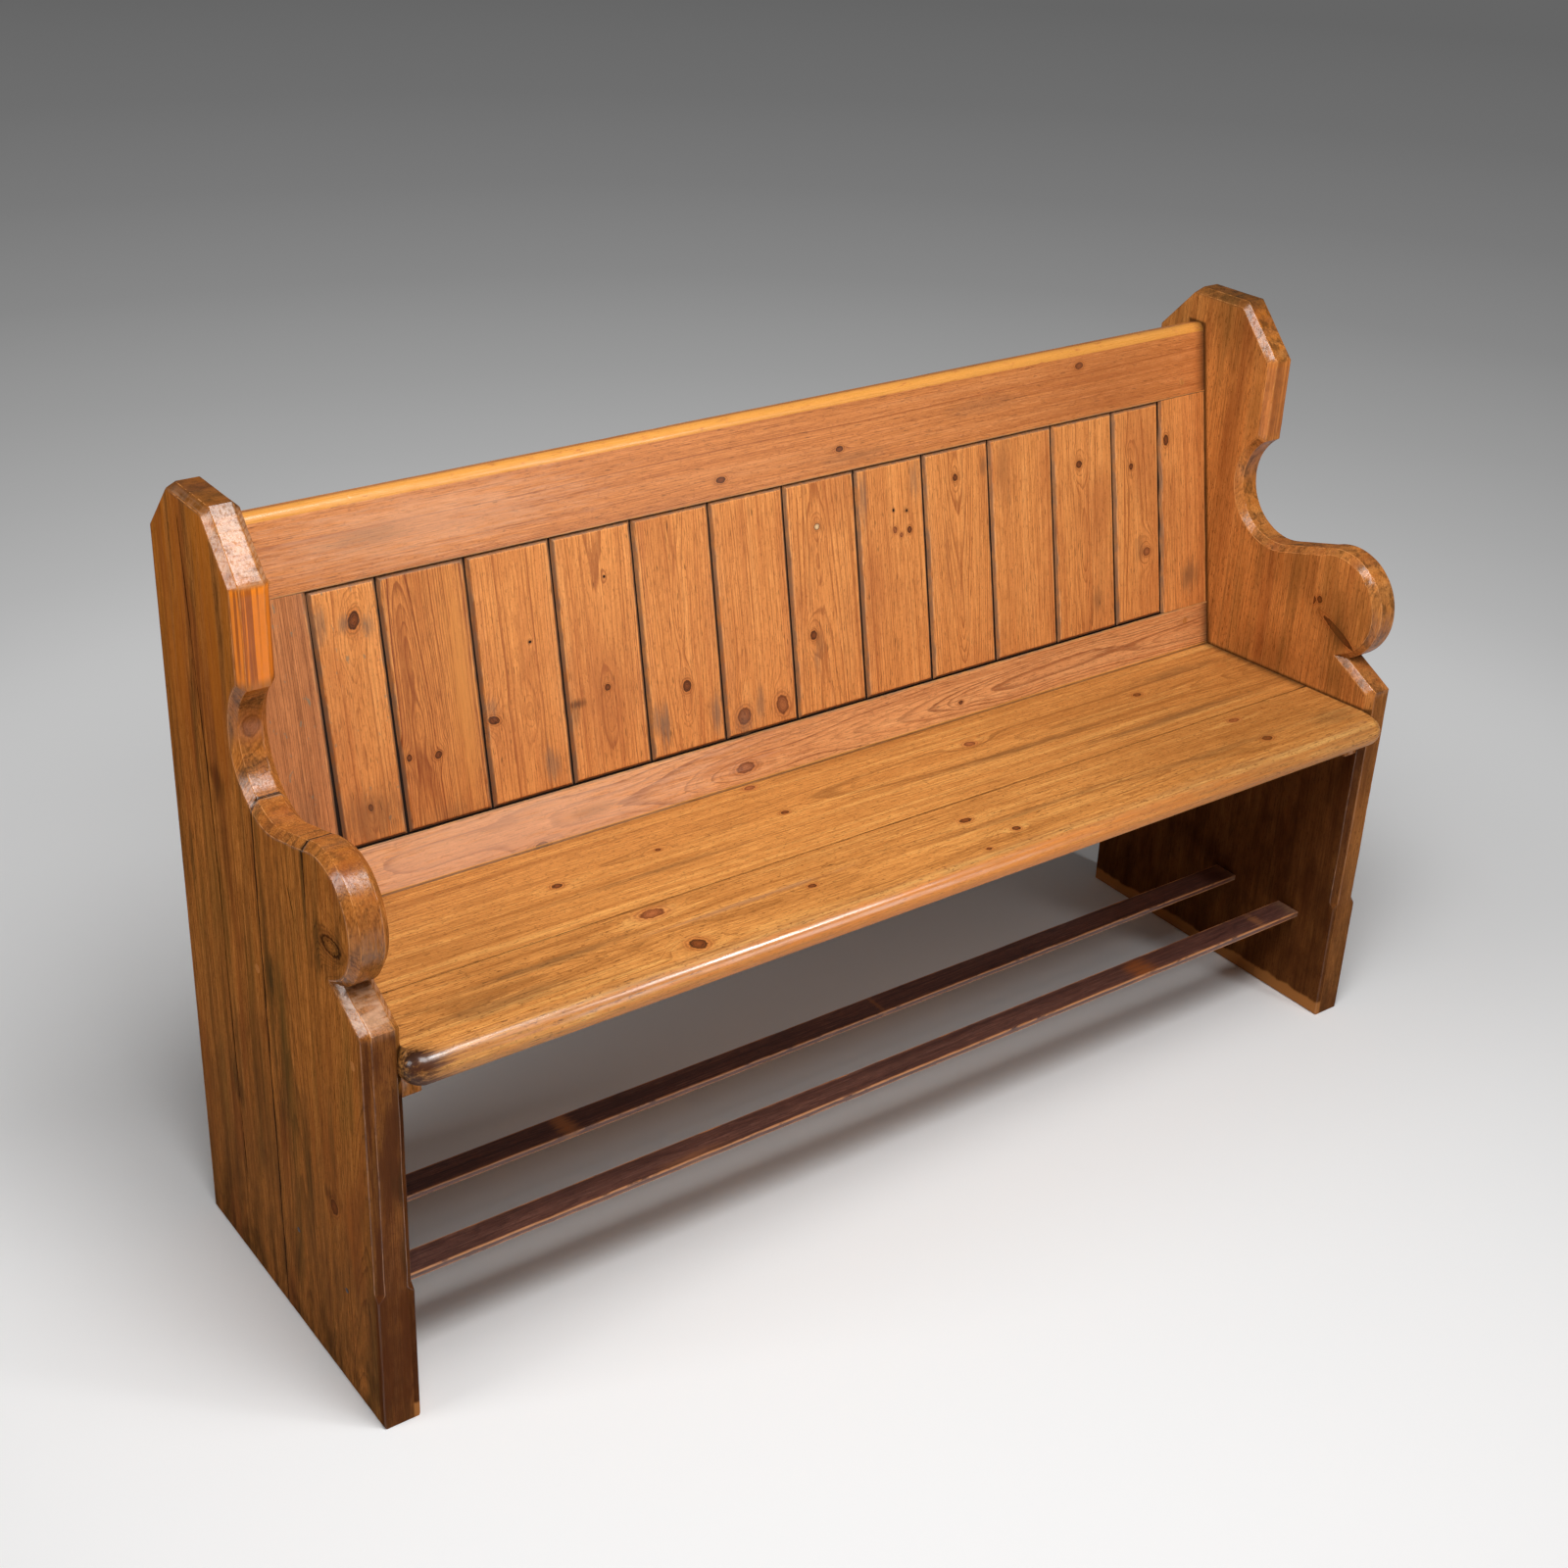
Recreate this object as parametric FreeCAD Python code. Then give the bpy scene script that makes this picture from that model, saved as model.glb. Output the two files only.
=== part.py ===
import FreeCAD, Part
import math
import os

# Pine hall bench: two scrolled ends glued up from boards, a raked back of matched boards in a
# pegged frame, a two-board seat with a round nose, and two laths under the seat.
# Working axes: X runs along the bench, U runs from the leg fronts to the rear, Z is up from the floor.

# Overall sizes
LENGTH = 1440.0
END_DEPTH = 430.0
END_HEIGHT = 912.0
END_THICKNESS = 41.0

# Clearances
FIT = 0.2
ROUND_FIT = 0.15

# Outline of an end, seen from the side
CLIP_RUN = 59.0
CLIP_DROP = 62.0
TOP_FRONT_U = 292.0
POST_U = 233.0
SLOPE_DROP = 64.0
HOLLOW_U = 193.5
HOLLOW_Z = 687.6
HOLLOW_RADIUS = 68.4
ARM_RISE_DEG = 15.0
SCROLL_U = 82.8
SCROLL_Z = 574.2
SCROLL_RADIUS = 71.5
SHOULDER_Z = 482.0
SHOULDER_RISE_DEG = 29.0
CHAMFER = 8.0
CHAMFER_STOP_Z = 165.0

# Boards that an end is glued up from
FRONT_JOINT_U = 113.0
REAR_JOINT_U = 229.0
DOWEL_RADIUS = 5.0
DOWEL_LENGTH = 60.0
DOWEL_LEVELS = (90.0, 290.0, 560.0)
DOWEL_END_ROOM = 0.5

# Seat
SEAT_HEIGHT = 456.0
SEAT_TILT_DEG = 2.2
SEAT_THICKNESS = 36.0
SEAT_NOSE = 27.0
SEAT_CORNER_EXTRA = 4.0
SEAT_JOINT_U = 104.0
SEAT_TONGUE_THICKNESS = 6.0
SEAT_TONGUE_WIDTH = 20.0
HOUSING_DEPTH = 8.0

# Bearers under the seat ends
BEARER_WIDTH = 22.0
BEARER_HEIGHT = 24.0
BEARER_FRONT_U = 10.0
BEARER_REAR_ROOM = 8.0

# Back: heights are measured up the raked face from the level of the seat
BACK_SETBACK = 152.0
BACK_LEVEL = 450.0
BACK_RAKE_DEG = 10.6
BACK_THICKNESS = 24.0
TOP_RAIL_DROP = 42.0
TOP_RAIL_WIDTH = 90.0
TOP_RAIL_ROUND = 10.0
TOP_RAIL_REAR_ROUND = 4.0
BOTTOM_RAIL_TOP = 54.0
BOTTOM_RAIL_WIDTH = 110.0
STILE_FACE_WIDTH = 82.0
TENON_THICKNESS = 8.0
TENON_LENGTH = 35.0
TENON_SHOULDER = 7.0
PEG_RADIUS = 4.0
PEG_FROM_EDGE = 18.0

# Matched boards of the back
BOARD_COUNT = 12
FIRST_BOARD_WIDTH = 77.5
LAST_BOARD_WIDTH = 81.5
BOARD_THICKNESS = 14.0
BOARD_RECESS = 1.0
BOARD_GAP = 1.6
BOARD_BEVEL = 4.0
BOARD_TONGUE_FRONT = 5.5
BOARD_TONGUE_THICKNESS = 5.0
BOARD_TONGUE_LENGTH = 6.0
BOARD_GROOVE_DEPTH = 7.0
BOARD_END_ROOM = 0.8

# Laths under the seat
LATH_WIDTH = 36.0
LATH_THICKNESS = 8.0
LATH_TOP_Z = 135.0
LATH_CENTRES_U = (73.0, 187.0)
LATH_HOUSING = 12.0

# Fixings
SEAT_SCREW_RADIUS = 2.5
SEAT_SCREW_HEAD_RADIUS = 4.5
SEAT_SCREW_HEAD_LENGTH = 3.0
SEAT_SCREW_LENGTH = 70.0
SEAT_SCREW_FRONT_U = 28.0
SEAT_SCREW_REAR_ROOM = 34.0
PLUG_RADIUS = 5.0
PLUG_LENGTH = 10.0
NAIL_RADIUS = 1.6
NAIL_HEAD_RADIUS = 3.0
NAIL_HEAD_LENGTH = 1.0
NAIL_LENGTH = 60.0
BEARER_SCREW_RADIUS = 2.2
BEARER_SCREW_HEAD_RADIUS = 4.0
BEARER_SCREW_HEAD_LENGTH = 2.5
BEARER_SCREW_LENGTH = 42.0
BEARER_SCREWS_U = (45.0, 130.0, 215.0)

# Sizes worked out from those above
HALF = LENGTH / 2.0
INNER = HALF - END_THICKNESS
SEAT_END = INNER + HOUSING_DEPTH
BACK_U = END_DEPTH - BACK_SETBACK
RAKE = math.radians(BACK_RAKE_DEG)
BACK_TOP = (END_HEIGHT - TOP_RAIL_DROP - BACK_LEVEL) / math.cos(RAKE)
TOP_RAIL_BOTTOM = BACK_TOP - TOP_RAIL_WIDTH
BACK_BOTTOM = BOTTOM_RAIL_TOP - BOTTOM_RAIL_WIDTH
OPENING = INNER - STILE_FACE_WIDTH
NOSE_RADIUS = SEAT_THICKNESS / 2.0
SEAT_CORNER = NOSE_RADIUS + SEAT_CORNER_EXTRA
TILT = math.radians(SEAT_TILT_DEG)
NOSE_REACH = NOSE_RADIUS + (SEAT_NOSE - NOSE_RADIUS) * math.cos(TILT) + NOSE_RADIUS * math.sin(TILT)
MIDDLE_U = (END_DEPTH - NOSE_REACH) / 2.0
FAR = 4.0 * END_DEPTH

X_AXIS = FreeCAD.Vector(1, 0, 0)
U_AXIS = FreeCAD.Vector(0, 1, 0)
Z_AXIS = FreeCAD.Vector(0, 0, 1)


def vec(x, u, z):
    return FreeCAD.Vector(x, u, z)


def block(x0, x1, u0, u1, z0, z1):
    """A box between two corners."""
    return Part.makeBox(x1 - x0, u1 - u0, z1 - z0, vec(x0, u0, z0))


def rod(start, direction, radius, length):
    """A round rod from a start point."""
    return Part.makeCylinder(radius, length, start, direction)


def prism_along_x(wire, x0, x1):
    """A closed outline drawn at x = 0, moved to x0 and carried along to x1."""
    placed = wire.copy()
    placed.translate(vec(x0, 0, 0))
    return Part.Face(placed).extrude(vec(x1 - x0, 0, 0))


def merged(shapes):
    """Shapes joined into one solid, without seams on faces that run through."""
    return shapes[0].fuse(shapes[1:]).removeSplitter()


def mirrored(shape):
    """The same piece at the other end of the bench."""
    return shape.mirror(vec(0, 0, 0), X_AXIS)


def lines_meet(p, d, q, e):
    """The point where the line through p along d meets the line through q along e."""
    cross = d[0] * e[1] - d[1] * e[0]
    along = ((q[0] - p[0]) * e[1] - (q[1] - p[1]) * e[0]) / cross
    return (p[0] + along * d[0], p[1] + along * d[1])


def line_meets_circle(p, d, centre, radius):
    """The first point, going along the unit direction d from p, that lies on a circle."""
    to_centre = (centre[0] - p[0], centre[1] - p[1])
    nearest = to_centre[0] * d[0] + to_centre[1] * d[1]
    off_axis = to_centre[0] * d[1] - to_centre[1] * d[0]
    along = nearest - math.sqrt(radius * radius - off_axis * off_axis)
    return (p[0] + along * d[0], p[1] + along * d[1])


def end_outline(x, inset):
    """The outline of an end at one x, drawn in by the inset along every chamfered edge.

    The rear edge, the clipped rear corner, the leg front and the foot keep their place.
    """
    rear_top = (END_DEPTH, END_HEIGHT - CLIP_DROP)
    clip_way = (-CLIP_RUN, CLIP_DROP)
    level = (-1.0, 0.0)
    top = (0.0, END_HEIGHT - inset)
    slope_run = TOP_FRONT_U - POST_U
    slope_length = math.hypot(slope_run, SLOPE_DROP)
    slope_way = (-slope_run / slope_length, -SLOPE_DROP / slope_length)
    slope_point = (TOP_FRONT_U - slope_way[1] * inset, END_HEIGHT + slope_way[0] * inset)
    plumb = (0.0, -1.0)
    post = (POST_U + inset, 0.0)
    hollow = (HOLLOW_U, HOLLOW_Z)
    hollow_radius = HOLLOW_RADIUS + inset
    rise = math.radians(ARM_RISE_DEG)
    arm_way = (-math.cos(rise), math.sin(rise))
    arm_start = (HOLLOW_U - hollow_radius * math.sin(rise), HOLLOW_Z - hollow_radius * math.cos(rise))
    scroll = (SCROLL_U, SCROLL_Z)
    scroll_radius = SCROLL_RADIUS - inset
    shoulder_rise = math.radians(SHOULDER_RISE_DEG)
    shoulder_way = (math.cos(shoulder_rise), math.sin(shoulder_rise))
    shoulder = (inset * shoulder_way[1], SHOULDER_Z - inset * shoulder_way[0])

    top_rear = lines_meet(rear_top, clip_way, top, level)
    top_front = lines_meet(top, level, slope_point, slope_way)
    post_top = lines_meet(slope_point, slope_way, post, plumb)
    post_foot = line_meets_circle((post[0], post_top[1]), plumb, hollow, hollow_radius)
    scroll_start = line_meets_circle(arm_start, arm_way, scroll, scroll_radius)
    notch = line_meets_circle(shoulder, shoulder_way, scroll, scroll_radius)
    shoulder_foot = lines_meet(shoulder, shoulder_way, (0.0, 0.0), plumb)

    def at(point):
        return vec(x, point[0], point[1])

    def straight(points):
        return [Part.LineSegment(at(a), at(b)).toShape() for a, b in zip(points, points[1:])]

    hollow_rear = (HOLLOW_U + hollow_radius, HOLLOW_Z)
    scroll_front = (SCROLL_U - scroll_radius, SCROLL_Z)
    edges = straight([(0.0, 0.0), (END_DEPTH, 0.0), rear_top, top_rear, top_front, post_top, post_foot])
    edges.append(Part.Arc(at(post_foot), at(hollow_rear), at(arm_start)).toShape())
    edges += straight([arm_start, scroll_start])
    edges.append(Part.Arc(at(scroll_start), at(scroll_front), at(notch)).toShape())
    edges += straight([notch, shoulder_foot, (0.0, 0.0)])
    return Part.Wire(edges)


def leg_chamfer(x_face, towards):
    """The wedge that is cut off one front arris of a leg, with a sloped stop above the foot."""
    def corner(z_arris, z_rest):
        arris = vec(x_face, 0, z_arris)
        across_front = vec(x_face + towards * CHAMFER, 0, z_rest)
        along_side = vec(x_face, CHAMFER, z_rest)
        return Part.makePolygon([arris, across_front, along_side, arris])

    stop = corner(CHAMFER_STOP_Z, CHAMFER_STOP_Z + CHAMFER)
    head = corner(SHOULDER_Z, SHOULDER_Z)
    return Part.makeLoft([stop, head], True, True)


def end_body():
    """The left end in one piece, with its chamfers."""
    outer = -HALF
    inner = -INNER
    outer_slice = Part.makeLoft([end_outline(outer, CHAMFER), end_outline(outer + CHAMFER, 0.0)], True, True)
    core = Part.Face(end_outline(outer + CHAMFER, 0.0)).extrude(vec(END_THICKNESS - 2 * CHAMFER, 0, 0))
    inner_slice = Part.makeLoft([end_outline(inner - CHAMFER, 0.0), end_outline(inner, CHAMFER)], True, True)
    whole = merged([outer_slice, core, inner_slice])
    return whole.cut([leg_chamfer(outer, 1.0), leg_chamfer(inner, -1.0)])


def tilt_seat(shape):
    """A shape drawn level, with the seat's top at z = 0, laid at the seat's height and tilt."""
    placed = shape.copy()
    placed.rotate(vec(0, 0, 0), X_AXIS, -SEAT_TILT_DEG)
    placed.translate(vec(0, 0, SEAT_HEIGHT))
    return placed


def lean_back(shape):
    """A shape drawn upright, with the back's front face at u = 0, leaned to the rake of the back."""
    placed = shape.copy()
    placed.rotate(vec(0, 0, 0), X_AXIS, -BACK_RAKE_DEG)
    placed.translate(vec(0, BACK_U, BACK_LEVEL))
    return placed


def behind_back(room):
    """Everything that lies behind the back's front face, and a little room in front of it."""
    return lean_back(block(-LENGTH, LENGTH, -room, FAR, -FAR, FAR))


def rail_section(low, grow):
    """The section of the back at x = 0 up to its rounded top edge, grown all round."""
    front = -grow
    rear = BACK_THICKNESS + grow
    top = BACK_TOP + grow
    bend = TOP_RAIL_ROUND + grow
    rear_bend = TOP_RAIL_REAR_ROUND + grow
    diagonal = 1.0 - math.sqrt(0.5)
    front_arc = Part.Arc(
        vec(0, front, top - bend),
        vec(0, front + diagonal * bend, top - diagonal * bend),
        vec(0, front + bend, top),
    ).toShape()
    rear_arc = Part.Arc(
        vec(0, rear - rear_bend, top),
        vec(0, rear - diagonal * rear_bend, top - diagonal * rear_bend),
        vec(0, rear, top - rear_bend),
    ).toShape()
    foot = low - grow
    edges = [
        Part.LineSegment(vec(0, front, foot), vec(0, front, top - bend)).toShape(),
        front_arc,
        Part.LineSegment(vec(0, front + bend, top), vec(0, rear - rear_bend, top)).toShape(),
        rear_arc,
        Part.LineSegment(vec(0, rear, top - rear_bend), vec(0, rear, foot)).toShape(),
        Part.LineSegment(vec(0, rear, foot), vec(0, front, foot)).toShape(),
    ]
    return Part.Wire(edges)


def seat_screw_places():
    """The u and the depth below the seat's top of the two screws in each seat end."""
    rear = BACK_U - SEAT_SCREW_REAR_ROOM
    return [(SEAT_SCREW_FRONT_U, -NOSE_RADIUS), (rear, -NOSE_RADIUS)]


def seat_screw(u, depth, grow):
    """A countersunk screw from the left end into the seat, level with the seat's tilt."""
    head_x = -HALF + PLUG_LENGTH
    shank = rod(vec(head_x, u, depth), X_AXIS, SEAT_SCREW_RADIUS + grow, SEAT_SCREW_LENGTH + grow)
    head = rod(vec(head_x, u, depth), X_AXIS, SEAT_SCREW_HEAD_RADIUS + grow, SEAT_SCREW_HEAD_LENGTH + grow)
    return tilt_seat(merged([shank, head]))


def seat_plug(u, depth, grow):
    """The wood plug over a seat screw, flush with the outer face of the left end."""
    return tilt_seat(rod(vec(-HALF, u, depth), X_AXIS, PLUG_RADIUS + grow, PLUG_LENGTH))


def lath_nail(u, grow):
    """A nail through the left end into a lath, its head flush with the outer face."""
    z = LATH_TOP_Z - LATH_THICKNESS / 2.0
    shank = rod(vec(-HALF, u, z), X_AXIS, NAIL_RADIUS + grow, NAIL_LENGTH + grow)
    head = rod(vec(-HALF, u, z), X_AXIS, NAIL_HEAD_RADIUS + grow, NAIL_HEAD_LENGTH + grow)
    return merged([shank, head])


def bearer_screw(u, grow):
    """A screw through the left bearer into the end, its head flush with the bearer's side."""
    x = -INNER + BEARER_WIDTH
    z = -SEAT_THICKNESS - BEARER_HEIGHT / 2.0
    shank = rod(vec(x, u, z), -X_AXIS, BEARER_SCREW_RADIUS + grow, BEARER_SCREW_LENGTH + grow)
    head = rod(vec(x, u, z), -X_AXIS, BEARER_SCREW_HEAD_RADIUS + grow, BEARER_SCREW_HEAD_LENGTH + grow)
    return tilt_seat(merged([shank, head]))


def end_dowels(grow, room):
    """The dowels in the two glue joints of the left end."""
    x = -HALF + END_THICKNESS / 2.0
    dowels = []
    for joint in (FRONT_JOINT_U, REAR_JOINT_U):
        start_u = joint - DOWEL_LENGTH / 2.0 - room
        for level in DOWEL_LEVELS:
            dowels.append(rod(vec(x, start_u, level), U_AXIS, DOWEL_RADIUS + grow, DOWEL_LENGTH + 2 * room))
    return dowels


def foot_laths(grow):
    """The two laths under the seat, grown all round."""
    reach = INNER + LATH_HOUSING + grow
    half = LATH_WIDTH / 2.0 + grow
    low = LATH_TOP_Z - LATH_THICKNESS - grow
    high = LATH_TOP_Z + grow
    return [block(-reach, reach, u - half, u + half, low, high) for u in LATH_CENTRES_U]


def end_boards():
    """The three boards of the left end, with every housing and bore in them."""
    seat_housing = tilt_seat(block(-SEAT_END - FIT, 0, -FAR, FAR, -SEAT_THICKNESS - FIT, FIT))
    seat_housing = seat_housing.cut(behind_back(0.0))
    back_housing = lean_back(prism_along_x(rail_section(BACK_BOTTOM, FIT), -SEAT_END - FIT, 0))
    cuts = [seat_housing, back_housing]
    cuts += foot_laths(FIT)
    cuts += end_dowels(ROUND_FIT, DOWEL_END_ROOM)
    for u, depth in seat_screw_places():
        cuts.append(seat_screw(u, depth, ROUND_FIT))
        cuts.append(seat_plug(u, depth, ROUND_FIT))
    cuts += [lath_nail(u, ROUND_FIT) for u in LATH_CENTRES_U]
    cuts += [bearer_screw(u, ROUND_FIT) for u in BEARER_SCREWS_U]
    whole = end_body().cut(cuts)
    limits = (-FAR, FRONT_JOINT_U, REAR_JOINT_U, FAR)
    names = ("front_board", "middle_board", "rear_board")
    boards = {}
    for name, low, high in zip(names, limits, limits[1:]):
        boards[name] = whole.common(block(-LENGTH, 0, low, high, -FAR, FAR))
    return boards


def nose_section(x):
    """The front of the seat at one x, from its round nose back to where the corners start."""
    front = -SEAT_NOSE
    rear = front + SEAT_CORNER
    nose = Part.Arc(
        vec(x, front + NOSE_RADIUS, 0),
        vec(x, front, -NOSE_RADIUS),
        vec(x, front + NOSE_RADIUS, -SEAT_THICKNESS),
    ).toShape()
    corners = [
        vec(x, front + NOSE_RADIUS, -SEAT_THICKNESS),
        vec(x, rear, -SEAT_THICKNESS),
        vec(x, rear, 0),
        vec(x, front + NOSE_RADIUS, 0),
    ]
    sides = [Part.LineSegment(a, b).toShape() for a, b in zip(corners, corners[1:])]
    return Part.Face(Part.Wire([nose] + sides))


def seat_boards():
    """The front board with its nose and ears, the rear board, and the tongue between them."""
    corner_u = SEAT_CORNER - SEAT_NOSE
    corner_x = SEAT_END - SEAT_CORNER
    nose = nose_section(-corner_x).extrude(vec(2 * corner_x, 0, 0))
    left_ear = nose_section(-corner_x).revolve(vec(-corner_x, corner_u, 0), Z_AXIS, -90)
    slab = block(-SEAT_END, SEAT_END, corner_u, SEAT_JOINT_U, -SEAT_THICKNESS, 0)
    front = merged([slab, nose, left_ear, mirrored(left_ear)])
    rear = block(-SEAT_END, SEAT_END, SEAT_JOINT_U, FAR, -SEAT_THICKNESS, 0)

    def tongue(grow):
        half_width = SEAT_TONGUE_WIDTH / 2.0 + grow
        half_thickness = SEAT_TONGUE_THICKNESS / 2.0 + grow
        low_u = SEAT_JOINT_U - half_width
        high_u = SEAT_JOINT_U + half_width
        middle = -NOSE_RADIUS
        return block(-INNER, INNER, low_u, high_u, middle - half_thickness, middle + half_thickness)

    screws = []
    for u, depth in seat_screw_places():
        hole = seat_screw(u, depth, ROUND_FIT)
        screws += [hole, mirrored(hole)]
    front = tilt_seat(front.cut(tongue(FIT))).cut(screws)
    rear = tilt_seat(rear.cut(tongue(FIT))).cut(behind_back(FIT)).cut(screws)
    return front, rear, tilt_seat(tongue(0.0))


def seat_bearer():
    """The bearer under the left end of the seat."""
    top = -SEAT_THICKNESS
    bar = block(-INNER, -INNER + BEARER_WIDTH, BEARER_FRONT_U, FAR, top - BEARER_HEIGHT, top)
    bar = tilt_seat(bar).cut(behind_back(BEARER_REAR_ROOM))
    return bar.cut([bearer_screw(u, ROUND_FIT) for u in BEARER_SCREWS_U])


def stile_tenon(low, high, grow):
    """A stile's tenon on the left side, drawn upright."""
    front = (BACK_THICKNESS - TENON_THICKNESS) / 2.0 - grow
    rear = (BACK_THICKNESS + TENON_THICKNESS) / 2.0 + grow
    left = -SEAT_END + TENON_SHOULDER - grow
    right = -OPENING - BOARD_GROOVE_DEPTH - TENON_SHOULDER + grow
    return block(left, right, front, rear, low - grow, high + grow)


def peg(height, grow):
    """A peg through a rail and a tenon on the left side, drawn upright."""
    x = -(OPENING + INNER) / 2.0
    return rod(vec(x, 0, height), U_AXIS, PEG_RADIUS + grow, BACK_THICKNESS)


def board_groove(x0, x1, low, high):
    """The groove that takes the tongues of the matched boards."""
    front = BOARD_TONGUE_FRONT - FIT
    rear = BOARD_TONGUE_FRONT + BOARD_TONGUE_THICKNESS + FIT
    return block(x0, x1, front, rear, low, high)


def back_frame():
    """The rails, stiles and pegs of the back, drawn upright."""
    peg_heights = (TOP_RAIL_BOTTOM + PEG_FROM_EDGE, BOTTOM_RAIL_TOP - PEG_FROM_EDGE)
    peg_holes = [peg(height, ROUND_FIT) for height in peg_heights]
    peg_holes += [mirrored(hole) for hole in peg_holes]
    top_tenon_end = TOP_RAIL_BOTTOM + TENON_LENGTH
    bottom_tenon_end = BOTTOM_RAIL_TOP - TENON_LENGTH
    top_mortise = stile_tenon(TOP_RAIL_BOTTOM, top_tenon_end, FIT)
    bottom_mortise = stile_tenon(bottom_tenon_end, BOTTOM_RAIL_TOP, FIT)

    top_rail = prism_along_x(rail_section(TOP_RAIL_BOTTOM, 0.0), -SEAT_END, SEAT_END)
    top_groove = board_groove(-OPENING, OPENING, TOP_RAIL_BOTTOM, TOP_RAIL_BOTTOM + BOARD_GROOVE_DEPTH)
    top_rail = top_rail.cut(peg_holes + [top_mortise, mirrored(top_mortise), top_groove])

    bottom_rail = block(-SEAT_END, SEAT_END, 0, BACK_THICKNESS, BACK_BOTTOM, BOTTOM_RAIL_TOP)
    bottom_groove = board_groove(-OPENING, OPENING, BOTTOM_RAIL_TOP - BOARD_GROOVE_DEPTH, BOTTOM_RAIL_TOP)
    bottom_rail = bottom_rail.cut(peg_holes + [bottom_mortise, mirrored(bottom_mortise), bottom_groove])

    stile = block(-SEAT_END, -OPENING, 0, BACK_THICKNESS, BOTTOM_RAIL_TOP, TOP_RAIL_BOTTOM)
    front_edges = [edge for edge in stile.Edges if edge.BoundBox.YMax < FIT]
    inner_arris = [edge for edge in front_edges if edge.BoundBox.XMin > -OPENING - FIT]
    stile = stile.makeChamfer(BOARD_BEVEL, inner_arris)
    stile = merged([stile, stile_tenon(bottom_tenon_end, top_tenon_end, 0.0)])
    side_groove = board_groove(-OPENING - BOARD_GROOVE_DEPTH, -OPENING, BOTTOM_RAIL_TOP, TOP_RAIL_BOTTOM)
    stile = stile.cut(peg_holes + [side_groove])

    pegs = [peg(height, 0.0) for height in peg_heights]
    pegs += [mirrored(pin) for pin in pegs]
    return top_rail, bottom_rail, stile, pegs


def back_boards():
    """The matched boards, drawn upright, from left to right."""
    shared = 2 * OPENING - FIRST_BOARD_WIDTH - LAST_BOARD_WIDTH
    cover = shared / (BOARD_COUNT - 2)
    widths = [FIRST_BOARD_WIDTH] + [cover] * (BOARD_COUNT - 2) + [LAST_BOARD_WIDTH]
    low = BOTTOM_RAIL_TOP + BOARD_END_ROOM
    high = TOP_RAIL_BOTTOM - BOARD_END_ROOM
    tongue_front = BOARD_TONGUE_FRONT
    tongue_rear = BOARD_TONGUE_FRONT + BOARD_TONGUE_THICKNESS
    boards = []
    left = -OPENING
    for number, width in enumerate(widths):
        x0 = left + BOARD_GAP / 2.0
        x1 = left + width - BOARD_GAP / 2.0
        body = block(x0, x1, BOARD_RECESS, BOARD_RECESS + BOARD_THICKNESS, low, high)
        front_edges = [edge for edge in body.Edges if edge.BoundBox.YMax < BOARD_RECESS + FIT]
        body = body.makeChamfer(BOARD_BEVEL, front_edges)
        end_low = low - BOARD_TONGUE_LENGTH
        end_high = high + BOARD_TONGUE_LENGTH
        pieces = [body, block(x0, x1, tongue_front, tongue_rear, end_low, end_high)]
        pieces.append(block(x1, x1 + BOARD_TONGUE_LENGTH, tongue_front, tongue_rear, low, high))
        if number == 0:
            pieces.append(block(x0 - BOARD_TONGUE_LENGTH, x0, tongue_front, tongue_rear, low, high))
        board = merged(pieces)
        if number > 0:
            board = board.cut(board_groove(x0, x0 + BOARD_GROOVE_DEPTH, end_low, end_high))
        boards.append(board)
        left += width
    return boards


def save(name, shapes):
    """Write one node, with the bench's middle over the origin."""
    solids = []
    for shape in shapes:
        placed = shape.copy()
        placed.translate(vec(0, -MIDDLE_U, 0))
        solids += placed.Solids
    node = solids[0] if len(solids) == 1 else Part.makeCompound(solids)
    node.exportStep(os.path.join("parts", name + ".step"))
    volume = sum(solid.Volume for solid in solids)
    print(name, "solids", len(solids), "valid", node.isValid(), "volume", round(volume))


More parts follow.
